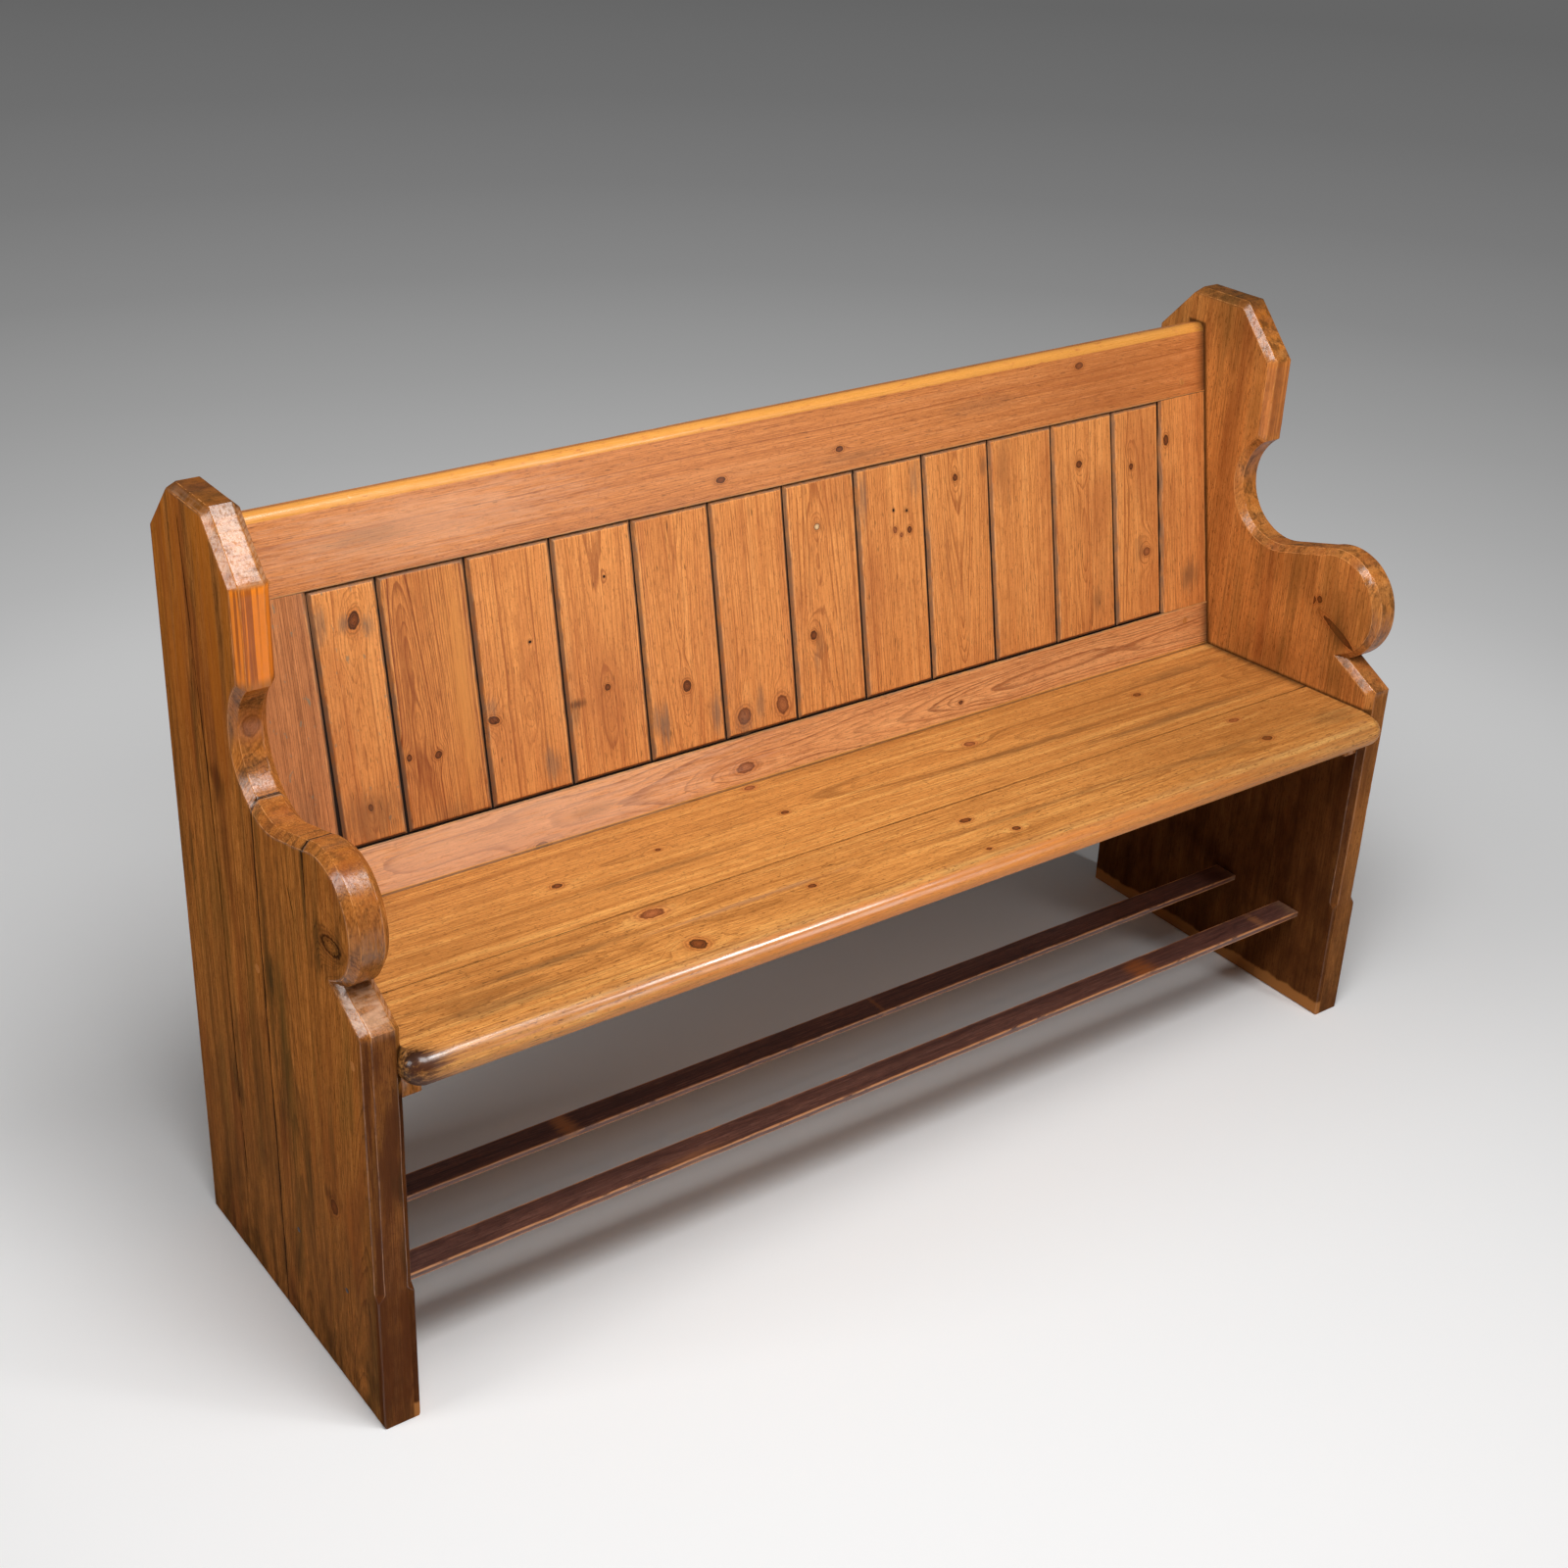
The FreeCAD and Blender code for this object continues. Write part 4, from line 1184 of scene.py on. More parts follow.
@dataclass
class BackBoards:
    """The matched boards of the back, bevelled all round their faces."""

    first: float = 77.5
    last: float = 81.5
    count: int = 12
    recess: float = 1.0
    thickness: float = 14.0
    gap: float = 1.6
    bevel: float = 4.0
    end_room: float = 0.8
    tongue_front: float = 5.5
    tongue_rear: float = 10.5
    tongue: float = 6.0
    groove: float = 7.0
    play: float = 0.2
    taper: float = 0.7
    tapers: dict[int, float] = field(default_factory=lambda: {0: 3.4, 1: 1.6})
    taper_width: float = 40.0
    # Dust with painted shade on the boards' bevels, deepening towards the gap.
    bevel_dust_and_shade: float = 0.68
    margin: float = 14.0
    loops: int = 22
    seed: int = 300
    seed_step: int = 7

    def edges(self) -> np.ndarray:
        """Where the gaps between the boards are.

        Returns:
            X of the middles of the gaps, from left to right.
        """
        shared = (2 * BENCH.opening - self.first - self.last) / (self.count - 2)
        widths = np.array([self.first] + [shared] * (self.count - 2) + [self.last])
        return -BENCH.opening + np.concatenate([[0.0], np.cumsum(widths)])

    def corners(self, left: float, right: float, reach: float, play: float) -> tuple[Point, ...]:
        """Corners (x, depth) of a board's section, with their radii.

        Args:
            left: X of the left side.
            right: X of the right side.
            reach: How far the groove goes in from the left side; a tongue there goes out.
            play: How much wider than the tongue the groove is on each side.

        Returns:
            Corner points with radii.
        """
        front, rear = self.recess, self.recess + self.thickness
        tongue, slot = right + self.tongue, left + reach
        return (
            (left, front + self.bevel, 0.5), (left + self.bevel, front, 1.4),
            (right - self.bevel, front, 1.4), (right, front + self.bevel, 0.5),
            (right, self.tongue_front, 0.0), (tongue, self.tongue_front, 0.0),
            (tongue, self.tongue_rear, 0.0), (right, self.tongue_rear, 0.0),
            (right, rear, 0.6), (left, rear, 0.6),
            (left, self.tongue_rear + play, 0.0), (slot, self.tongue_rear + play, 0.0),
            (slot, self.tongue_front - play, 0.0), (left, self.tongue_front - play, 0.0),
        )

    def shell(self, left: float, right: float, seed: int, taper: float, first: bool) -> Shell:
        """A board: a section with bevels, tongue and groove, carried up the back.

        At each end the face slopes back by the bevel. The end's tongue is the same section with its
        depth held between the tongue's two sides, and it starts at the bottom of the groove.

        Args:
            left: X of the left side.
            right: X of the right side.
            seed: Chooses the unevenness.
            taper: How much narrower the board is at its foot, on its left side.
            first: Whether it is the first board, which has a tongue on its left side too.

        Returns:
            The board's surface, leaned to the rake.
        """
        front, rear, bevel = self.recess, self.recess + self.thickness, self.bevel
        reach, play = (-self.tongue, 0.0) if first else (self.groove, self.play)
        loop, edge = rounded_loop(self.corners(left, right, reach, play), 3, 12.0)
        low = BENCH.bottom_rail_top + self.end_room
        high = BENCH.top_rail_bottom - self.end_room
        slope = np.array([0.0, 0.4, 2.0, bevel - 0.7, bevel, bevel + 0.9, bevel + 3.0])
        drop = np.array([bevel, bevel - 0.45, bevel - 2.0, 0.85, 0.2, 0.0, 0.0])
        body = np.linspace(low + self.margin, high - self.margin, self.loops)
        height = np.concatenate([low + slope, body, high - slope[::-1]])
        back_off = np.concatenate([drop, np.zeros(len(body)), drop[::-1]])
        face = (loop[:, 1] < front + bevel + 0.01)[None, :]
        crown = wander(height[:, None] + 60 * seed, seed, 300.0) * 0.25
        crown = crown + wander(loop[None, :, 0], seed + 1, 150.0) * 0.2 + 0.35
        sloped = np.maximum(loop[None, :, 1], front + back_off[:, None]) + crown
        depth = np.where(face, sloped, loop[None, :, 1])
        depth = depth + 0.5 * nicks(height, seed + 2, 9, 4.0)[:, None] * edge[None, :] * face
        x = np.broadcast_to(loop[:, 0], depth.shape)
        stub_x = np.tile(np.maximum(loop[:, 0], left + reach), (2, 1))
        stub = np.tile(np.clip(loop[:, 1], self.tongue_front, self.tongue_rear), (2, 1))
        x = np.concatenate([stub_x, x, stub_x])
        depth = np.concatenate([stub, depth, stub])
        crown = np.concatenate([crown[:2], crown, crown[:2]])
        height = np.concatenate([[low - self.tongue, low], height, [high, high + self.tongue]])
        lowness = np.clip((high - height) / (high - low), 0, 1)[:, None]
        x = x + taper * lowness * np.clip(1 - (x - left) / self.taper_width, 0, 1)
        rings = np.stack([x, depth, np.broadcast_to(height[:, None], depth.shape)], -1)
        back = depth - front - crown
        # The bevels get dust with painted shade; the side walls in the gaps get dirt.
        grime_and_shade = np.where(face, self.bevel_dust_and_shade * (back > 0.5), 1.0 * (depth < rear - 1.0))
        grime_and_shade[:2], grime_and_shade[-2:] = 1.0, 1.0
        wear = np.broadcast_to(edge, depth.shape) * (back < 1.4)
        return loft(lean_back(rings), wear, grime_and_shade)

    def build(self, woods: Sequence[Wood]) -> None:
        """Builds and dresses every board.

        Args:
            woods: The wood of each board from left to right.
        """
        edges = self.edges()
        for number, wood in enumerate(woods):
            left = edges[number] + self.gap / 2
            right = edges[number + 1] - self.gap / 2
            seed, taper = self.seed + self.seed_step * number, self.tapers.get(number, self.taper)
            shell = self.shell(left, right, seed, taper, number == 0)
            Piece("back_board_%02d" % (number + 1), shell, wood, "back_pine").add()


@dataclass
class BackFrame:
    """The rails and stiles around the matched boards."""

    top_round: float = 10.0
    rear_round: float = 4.0
    arris: float = 0.9
    groove: float = 7.0
    groove_front: float = 5.3
    groove_rear: float = 10.7
    bevel: float = 4.0
    # Dust with painted shade on the stiles' bevels.
    bevel_dust_and_shade: float = 0.68
    stile_room: float = 0.1
    # Where the painted shade line runs along the bottom rail, at the seat.
    seat_line: float = -5.5
    seat_contact: tuple[float, ...] = (-8.0, -3.4, -2.6)
    skin: float = 2.0
    seed: int = 401

    def rail_corners(self, low: float, high: float, rounds: Sequence[float], groove_high: bool) -> tuple:
        """Corners of a rail's section (height, depth), with the groove for the boards.

        Args:
            low: Lower edge, measured up the back.
            high: Upper edge.
            rounds: Radii at low front, high front, high rear and low rear.
            groove_high: Whether the groove is in the upper edge.

        Returns:
            Corner points with radii.
        """
        front, rear = BENCH.proud, BENCH.back_thickness
        edge, inner = (high, high - self.groove) if groove_high else (low, low + self.groove)
        slot = [(edge, self.groove_front, 0.0), (inner, self.groove_front, 0.0),
                (inner, self.groove_rear, 0.0), (edge, self.groove_rear, 0.0)]
        bottom_front, top_front = (low, front, rounds[0]), (high, front, rounds[1])
        top_rear, bottom_rear = (high, rear, rounds[2]), (low, rear, rounds[3])
        if groove_high:
            return (bottom_front, top_front, *slot, top_rear, bottom_rear)
        return (bottom_front, top_front, top_rear, bottom_rear, *slot[::-1])

    def rail(self, corners: tuple, seed: int, grimy_edge: float) -> Shell:
        """A rail: its section carried along the bench.

        Args:
            corners: Corners of its section.
            seed: Chooses its unevenness.
            grimy_edge: Height of the edge that meets the boards, where dirt gathers.

        Returns:
            The rail's surface, leaned to the rake.
        """
        shell = Bar(corners, -BENCH.reach, BENCH.reach, seed, soften=0.3).shell("acb")
        x, depth, height = shell.points.T
        edge = np.where(depth > self.skin, 1.0, 0.5) * (np.abs(height - grimy_edge) < 1.6)
        # Painted shade at the rail's ends against the end panels, and along the line where the seat meets
        # the bottom rail.
        ends = np.exp(-(BENCH.reach - np.abs(x)) / 1.5)
        seat_line_shade = 0.55 * (np.abs(height - self.seat_line) < 2.4) * (depth < self.skin)
        shell.grime_and_shade = np.where(edge > 0, edge, -np.maximum(ends, seat_line_shade))
        shell.points = lean_back(shell.points)
        return shell

    def stile(self, side: float, seed: int) -> Shell:
        """A stile: its section, bevelled and grooved along the boards, carried up the back.

        Args:
            side: -1 for the left stile and 1 for the right one.
            seed: Chooses its unevenness.

        Returns:
            The stile's surface, leaned to the rake.
        """
        front, rear, bevel = BENCH.proud, BENCH.back_thickness, self.bevel
        outer, inner = BENCH.reach, BENCH.opening
        half = ((outer, front, 0.6), (inner + bevel, front, 1.4), (inner, front + bevel, 0.4),
                (inner, self.groove_front, 0.0), (inner + self.groove, self.groove_front, 0.0),
                (inner + self.groove, self.groove_rear, 0.0), (inner, self.groove_rear, 0.0),
                (inner, rear, 0.8), (outer, rear, 0.8))
        corners = tuple((side * x, depth, radius) for x, depth, radius in half)
        low, high = BENCH.bottom_rail_top + self.stile_room, BENCH.top_rail_bottom - self.stile_room
        shell = Bar(corners, low, high, seed, soften=0.5).shell("bca")
        away = np.abs(shell.points[:, 0])
        back = (shell.points[:, 1] - front) * (np.abs(away - inner) < 7.5)
        # Painted shade along the stile's outer edge, where it meets the end panel.
        zones = [back > bevel + 0.1, away > outer - 1.0, back > 0.5]
        shell.grime_and_shade = np.select(zones, [1.0, -1.0, self.bevel_dust_and_shade], 0.0)
        shell.points = lean_back(shell.points)
        return shell

    def build(self, woods: dict[str, Wood]) -> None:
        """Builds and dresses the rails and stiles.

        Args:
            woods: The wood of each piece by its node.
        """
        arris, top, low = self.arris, BENCH.top_rail_bottom, BENCH.bottom_rail_top
        rounds = (arris, self.top_round, self.rear_round, arris)
        upper = self.rail_corners(top, BENCH.back_top, rounds, False)
        first, *rest = self.rail_corners(low - BENCH.bottom_rail_width, low, (arris,) * 4, True)
        contact = tuple((height, BENCH.proud, 0.0) for height in self.seat_contact)
        shells = {
            "back_top_rail": self.rail(upper, self.seed, top),
            "back_bottom_rail": self.rail((first, *contact, *rest), self.seed + 1, low),
            "back_left_stile": self.stile(-1.0, self.seed + 2),
            "back_right_stile": self.stile(1.0, self.seed + 3),
        }
        for node, shell in shells.items():
            Piece(node, shell, woods[node], "back_pine").add()


@dataclass
class Seat:
    """The two boards of the seat, with its round nose and ears, and the bearers below it."""

    nose: float = 27.0
    corner: float = 22.0
    ear: float = 687.0
    edge_round: float = 18.0
    arris: float = 0.3
    leg_chamfer: float = 8.0
    nose_points: int = 34
    rear_points: int = 40
    nose_wear: float = 0.3
    ear_wear: float = 0.14
    ear_length: float = 30.0
    back_room: float = 2.2
    bearer_width: float = 22.0
    bearer_height: float = 24.0
    bearer_front: float = 10.5
    bearer_rear: float = 255.0
    upper_share: float = 0.36
    front_seed: int = 511
    rear_seed: int = 521
    bearer_seed: int = 531

    def plan(self) -> tuple[np.ndarray, np.ndarray]:
        """The front board's outline from above, and how round its edge is at each point.

        The outline runs forward along the left end, round the ear, along the nose and back again.
        The edge is a half round on nose and ears and an arris on the other sides.

        Returns:
            Points (x, u), and the edge's radius at each point.
        """
        side, ear, joint = BENCH.reach, self.ear, BENCH.seat_joint_u
        turn = np.linspace(0, np.pi / 2, 13)
        middle = np.array([-ear + self.corner, -self.nose + self.corner])
        arc = middle + self.corner * np.stack([-np.cos(turn), -np.sin(turn)], -1)
        flank = np.array([[-side, joint - 1.0], [-side, 60.0], [-side, self.leg_chamfer + 6.0],
                          [-side, self.leg_chamfer + 0.4]])
        chamfer = np.array([[-ear, 0.3]])
        count = self.nose_points
        nose = np.stack([np.linspace(arc[-1, 0] + 8, 0, count), np.full(count, -self.nose)], -1)
        half = np.concatenate([flank, chamfer, arc, nose])
        rounded = len(chamfer) + len(arc) + len(nose)
        radius = np.concatenate([np.full(len(flank), self.arris), np.full(rounded, self.edge_round)])
        mirror = half[-2::-1] * np.array([-1.0, 1.0])
        count = self.rear_points
        rear = np.stack([np.linspace(side, -side, count), np.full(count, joint)], -1)
        points = np.concatenate([half, mirror, rear])
        return points, np.concatenate([radius, radius[-2::-1], np.zeros(count)])

    def front_shell(self) -> Shell:
        """The front board: its outline stacked from the top face down to the underside.

        A loop at angle t of the edge is drawn in by R (1 - cos t) and lies R (1 - sin t) below the
        top, with R the edge's radius there; the lower half mirrors the upper one.

        Returns:
            The surface, tilted as the seat is.
        """
        plan, radius = self.plan()
        into = inward(plan)
        x, seed = plan[:, 0], self.front_seed
        worn = 0.5 * nicks(x, seed, 30, 9.0) + 0.35 * wander(x, seed + 1, 300.0)
        turn = np.linspace(np.pi / 2, 0, 11)
        drawn = np.concatenate([[radius + 2.6, radius + 1.0], radius * (1 - np.cos(turn))[:, None]])
        below = np.concatenate([np.zeros((2, len(plan))), radius * (1 - np.sin(turn))[:, None]])
        rounded = radius > 5
        side = np.sin(np.clip(below / np.maximum(radius, 1.0), 0, 1) * np.pi) * rounded
        drawn = drawn + side * np.maximum(worn, 0) * 0.8
        drawn = np.concatenate([drawn, drawn[::-1]])
        below = np.concatenate([below, BENCH.seat_thickness - below[::-1]])
        flat = plan[None] + into[None] * drawn[..., None]
        rings = np.concatenate([flat, -below[..., None]], -1)
        upper = np.where(below < self.upper_share * BENCH.seat_thickness, 1.0, 0.0)
        eared = np.where(np.abs(x) > self.ear - self.ear_length, self.ear_wear, 1.0)
        arris = np.where(rounded, self.nose_wear, 0.0) * eared * upper * (drawn < radius + 0.5)
        # Painted shade where the front board meets the ends.
        ends = -np.exp(-(BENCH.reach - np.abs(rings[..., 0])) / 2.0) * (rings[..., 1] > 6.0)
        return loft(tilt_seat(rings), arris, ends)

    def rear_shell(self) -> Shell:
        """The rear board: a section (u, depth), cut to the rake of the back, carried along the bench.

        Returns:
            The surface, tilted as the seat is.
        """
        lean = math.tan(BENCH.back_rake + BENCH.seat_tilt)
        down = BENCH.back_u - (BENCH.back_level - BENCH.seat_height) * math.tan(BENCH.back_rake)
        rear = down / math.cos(BENCH.seat_tilt) - self.back_room
        joint, under = BENCH.seat_joint_u, -BENCH.seat_thickness
        corners = ((joint, 0.0, 0.0), (rear, 0.0, 0.6),
                   (rear + under * lean, under, 0.6), (joint, under, 0.8))
        bar = Bar(corners, -BENCH.reach, BENCH.reach, self.rear_seed, soften=0.4, waver=0.0, chips=0.0)
        shell = bar.shell("abc")
        # Painted shade where the rear board meets the ends, and along its rear edge against the back.
        ends = np.exp(-(BENCH.reach - np.abs(shell.points[:, 0])) / 2.0)
        shell.grime_and_shade = -np.maximum(ends, 0.5 * (shell.points[:, 1] > rear - 1.0))
        shell.wear = np.zeros_like(ends)
        shell.points = tilt_seat(shell.points)
        return shell

    def bearer(self, side: float) -> Shell:
        """A bearer: its section carried from front to rear under one end of the seat.

        Args:
            side: -1 for the left end and 1 for the right one.

        Returns:
            The surface, tilted as the seat is.
        """
        top, low = -BENCH.seat_thickness, -BENCH.seat_thickness - self.bearer_height
        outer, inner = side * BENCH.reach, side * (BENCH.inner - self.bearer_width + BENCH.proud)
        corners = ((outer, top, 0.3), (inner, top, 0.8), (inner, low, 1.6), (outer, low, 0.8))
        bar = Bar(corners, self.bearer_front, self.bearer_rear, self.bearer_seed, soften=1.2)
        shell = bar.shell("bac")
        shell.points = tilt_seat(shell.points)
        return shell

    def build(self, woods: dict[str, Wood]) -> None:
        """Builds and dresses the boards and bearers.

        Args:
            woods: The wood of each piece by its node.
        """
        pieces = {
            "seat_front_board": (self.front_shell(), "seat_pine"),
            "seat_rear_board": (self.rear_shell(), "seat_pine"),
            "left_seat_bearer": (self.bearer(-1.0), "end_pine"),
            "right_seat_bearer": (self.bearer(1.0), "end_pine"),
        }
        for node, (shell, slot) in pieces.items():
            Piece(node, shell, woods[node], slot).add()


@dataclass
class Laths:
    """The two flat laths below the seat."""

    width: float = 36.0
    thickness: float = 8.0
    top: float = 135.0
    middles: dict[str, float] = field(
        default_factory=lambda: {"front_foot_lath": 73.0, "rear_foot_lath": 187.0})
    seed: int = 601
    seed_step: int = 10

    def build(self, woods: dict[str, Wood]) -> None:
        """Builds and dresses both laths.

        Args:
            woods: The wood of each lath by its node.
        """
        for number, (node, middle) in enumerate(self.middles.items()):
            low, high = middle - self.width / 2, middle + self.width / 2
            under = self.top - self.thickness
            corners = ((low, self.top, 1.3), (high, self.top, 1.3), (high, under, 1.0), (low, under, 1.0))
            seed = self.seed + self.seed_step * number
            bar = Bar(corners, -BENCH.reach, BENCH.reach, seed, pitch=9.0, soften=0.3, waver=0.4,
                      chips=0.6, chip_count=40)
            shell = bar.shell("abc")
            shell.grime_and_shade = 0.6 * np.exp(-(BENCH.reach - np.abs(shell.points[:, 0])) / 12.0)
            Piece(node, shell, woods[node], "stained_lath").add()


Run = tuple[np.ndarray, float]


def on_circle(circle: Point, angle: Union[float, np.ndarray]) -> np.ndarray:
    """Points (u, z) at angles from the level on a circle that is its middle's u and z and its radius."""
    u, z, radius = circle
    return np.stack([u + radius * np.cos(angle), z + radius * np.sin(angle)], -1)


def straight(start: Sequence[float], stop: Sequence[float], count: int) -> np.ndarray:
    """Points at equal steps from one point to another, with both of them."""
    return np.linspace(np.array(start, float), np.array(stop, float), count)


@dataclass
class EndPanel:
    """One scrolled end, glued up from three upright boards."""

    side: float
    woods: dict[str, Wood]
    clip_run: float = 59.0
    clip_drop: float = 62.0
    top_front: float = 292.0
    post: float = 233.0
    slope_drop: float = 64.0
    hollow: Point = (193.5, 687.6, 68.4)
    arm_rise: float = math.radians(15.0)
    scroll: Point = (82.8, 574.2, 71.5)
    shoulder: float = 482.0
    shoulder_rise: float = math.radians(29.0)
    chamfer: float = 8.0
    stop: float = 165.0
    front_joint: float = 113.0
    rear_joint: float = 229.0
    crack: float = 560.0
    foot_chamfer: float = 1.6
    plain_chamfer: float = 1.0
    open_chamfer: float = 0.55
    tight_chamfer: float = 0.2
    joint_limit: float = 0.6
    ease: float = 0.5
    leg_front: float = 15.0
    leg_top: float = 476.0
    corner_sine: float = 0.15
    seed: int = 700
    seed_step: int = 20

    def notch(self) -> float:
        """Where the shoulder's line runs into the scroll's circle.

        Returns:
            The angle on the scroll.
        """
        start, middle = np.array([0.0, self.shoulder]), np.array(self.scroll[:2])
        way = np.array([math.cos(self.shoulder_rise), math.sin(self.shoulder_rise)])
        to_middle = middle - start
        along, off = to_middle @ way, to_middle[0] * way[1] - to_middle[1] * way[0]
        spoke = start + way * (along - math.sqrt(self.scroll[2] ** 2 - off**2)) - middle
        return math.atan2(spoke[1], spoke[0]) % (2 * np.pi)

    def outlines(self) -> dict[str, list[Run]]:
        """Each board's outline as runs of points, anticlockwise, with the size of each run's chamfer.

        Returns:
            For each board the runs (points, chamfer) in order; a run ends where the next starts.
        """
        big, plain, worn, tight = self.chamfer, self.plain_chamfer, self.foot_chamfer, self.tight_chamfer
        seam = self.open_chamfer if self.side < 0 else tight
        rear, top = BENCH.end_depth, BENCH.end_height
        clip_low, clip_high = (rear, top - self.clip_drop), (rear - self.clip_run, top)
        slope_top, post_top = (self.top_front, top), (self.post, top - self.slope_drop)
        post_angle = math.acos((self.post - self.hollow[0]) / self.hollow[2])
        joint_angle = -math.acos((self.rear_joint - self.hollow[0]) / self.hollow[2])
        arm_angle = -np.pi / 2 - self.arm_rise
        split_angle = math.acos((self.front_joint - self.scroll[0]) / self.scroll[2])
        post_foot, at_joint, arm_start = (
            on_circle(self.hollow, angle) for angle in (post_angle, joint_angle, arm_angle))
        at_split, notch = (on_circle(self.scroll, angle) for angle in (split_angle, self.notch()))
        rear_foot, front_foot = (self.rear_joint, 0), (self.front_joint, 0)
        shoulder, crack_end = (0.0, self.shoulder), (self.front_joint, self.crack)
        stop_high, stop_low = (0, self.stop + 14), (0, self.stop - 4)
        rear_board = [
            (straight(rear_foot, (rear, 0), 12), worn),
            (straight((rear, 0), clip_low, 40), plain),
            (straight(clip_low, clip_high, 8), plain),
            (straight(clip_high, slope_top, 10), big),
            (straight(slope_top, post_top, 12), big),
            (straight(post_top, post_foot, 12), big),
            (on_circle(self.hollow, np.linspace(post_angle, joint_angle, 26)), big),
            (straight(at_joint, rear_foot, 40), seam),
        ]
        middle_board = [
            (straight(front_foot, rear_foot, 8), worn),
            (straight(rear_foot, at_joint, 40), seam),
            (on_circle(self.hollow, np.linspace(joint_angle, arm_angle, 16)), big),
            (straight(arm_start, at_split, 10), big),
            (straight(at_split, crack_end, 8), seam),
            (straight(crack_end, front_foot, 34), tight),
        ]
        front_board = [
            (straight((0, 0), front_foot, 8), worn),
            (straight(front_foot, crack_end, 34), tight),
            (straight(crack_end, at_split, 8), seam),
            (on_circle(self.scroll, np.linspace(split_angle, self.notch(), 64)), big),
            (straight(notch, shoulder, 8), big),
            (straight(shoulder, stop_high, 34), big),
            (straight(stop_high, stop_low, 12), -big),
            (straight(stop_low, (0, 0), 18), plain),
        ]
        return {"front_board": front_board, "middle_board": middle_board, "rear_board": rear_board}

    def chamfers(self, run: Run) -> np.ndarray:
        """The chamfer along a run: the same all along, or grown up from the stop where it is negative.

        Args:
            run: Points with their chamfer.

        Returns:
            The chamfer at each point.
        """
        spots, chamfer = run
        if chamfer >= 0:
            return np.full(len(spots), chamfer)
        share = np.clip((spots[:, 1] - self.stop) / self.chamfer, 0, 1)
        return self.plain_chamfer + (-chamfer - self.plain_chamfer) * share

    def loop(self, runs: list[Run]) -> tuple[np.ndarray, ...]:
        """Joins runs into one loop and works out how each point moves when its edges draw in.

        A point inside a run moves square to it. A corner moves so that it stays on both its runs
        when each has drawn in by its own amount.

        Args:
            runs: Runs of points with their chamfers.

        Returns:
            Points, two moves per point (for its own run and for the next run), and the chamfer on
            each of the two.
        """
        points, own, after, size, size_after = [], [], [], [], []
        sizes = [self.chamfers(run) for run in runs]
        for index, (spots, _) in enumerate(runs):
            following = (index + 1) % len(runs)
            way = np.gradient(spots, axis=0)
            way /= np.linalg.norm(way, axis=1)[:, None]
            normal = np.stack([-way[:, 1], way[:, 0]], -1)
            step = runs[following][0][1] - runs[following][0][0]
            next_way = step / np.linalg.norm(step)
            next_normal = np.array([-next_way[1], next_way[0]])
            first, second = normal.copy(), np.zeros_like(normal)
            cross = normal[-1, 0] * next_normal[1] - normal[-1, 1] * next_normal[0]
            if abs(cross) > self.corner_sine:
                inverse = np.linalg.inv(np.array([normal[-1], next_normal]))
                first[-1], second[-1] = inverse[:, 0], inverse[:, 1]
            points.append(spots[1:])
            own.append(first[1:])
            after.append(second[1:])
            size.append(sizes[index][1:])
            size_after.append(np.full(len(spots) - 1, sizes[following][0]))
        return tuple(np.concatenate(a) for a in (points, own, after, size, size_after))

    def keep_off_joints(self, rings: np.ndarray, size: np.ndarray) -> None:
        """Stops points beside a joint from drawing in across it: they stay at the joint's corner.

        Args:
            rings: Loops by points by (u, z), changed in place.
            size: The chamfer on each point's own run.
        """
        joint = size < self.joint_limit
        for corner in np.flatnonzero(joint & ~np.roll(joint, -1)):
            after = (corner + np.arange(1, 5)) % len(size)
            over = rings[:, after, 0] > rings[:, corner, 0][:, None]
            if rings[0, corner, 0] < rings[0, :, 0].mean():
                over = rings[:, after, 0] < rings[:, corner, 0][:, None]
            rings[:, after] = np.where(over[..., None], rings[:, corner][:, None], rings[:, after])

    def shell(self, runs: list[Run], seed: int) -> Shell:
        """A board: its outline carried through the thickness, drawn in to make the chamfers.

        Loop k lies at a depth below a face and is drawn in from the edge. With chamfer c the loops
        go from (0, c) on the face to (c, 0) on the edge; an arris is eased over a width e, and more
        loops stand close to it so that the flats stay flat.

        Args:
            runs: Runs of the outline.
            seed: Chooses the unevenness of the chamfers.

        Returns:
            The board's surface.
        """
        points, own, after, size, size_after = self.loop(runs)
        place = np.concatenate([[0.0], np.cumsum(np.linalg.norm(np.diff(points, axis=0), axis=1))])
        uneven = 1 + 0.06 * wander(place, seed, 160.0)
        chips = nicks(place, seed + 1, max(4, int(place[-1] / 60)), 3.0) * (size > 0.8)
        steps = np.array([
            (0.0, 0.0, 1.0, 4.0, 0.0), (0.0, 0.0, 1.0, 1.0, 0.3), (0.0, 0.25, 1.0, 0.05, 1.0),
            (0.0, 0.75, 1.0, -0.75, 1.0), (0.0, 1.5, 1.0, -1.5, 0.25), (1.0, -1.5, 0.0, 1.5, 0.25),
            (1.0, -0.75, 0.0, 0.75, 1.0), (1.0, 0.05, 0.0, 0.25, 1.0), (1.0, 1.0, 0.0, 0.0, 0.3),
            (1.0, 4.0, 0.0, 0.0, 0.3),
        ])
        ease, ease_after = np.minimum(self.ease, size / 4), np.minimum(self.ease, size_after / 4)
        down, down_more, draw, draw_more, arris = (column[:, None] for column in steps.T)
        chipped = 0.5 * chips * arris
        inset = size * uneven * draw + ease * draw_more + chipped
        inset_after = size_after * uneven * draw + ease_after * draw_more
        rings = points + own * inset[..., None] + after * inset_after[..., None]
        self.keep_off_joints(rings, size)
        corner = np.any(after != 0, axis=1)
        wide = np.where(corner, np.maximum(size, size_after), size)
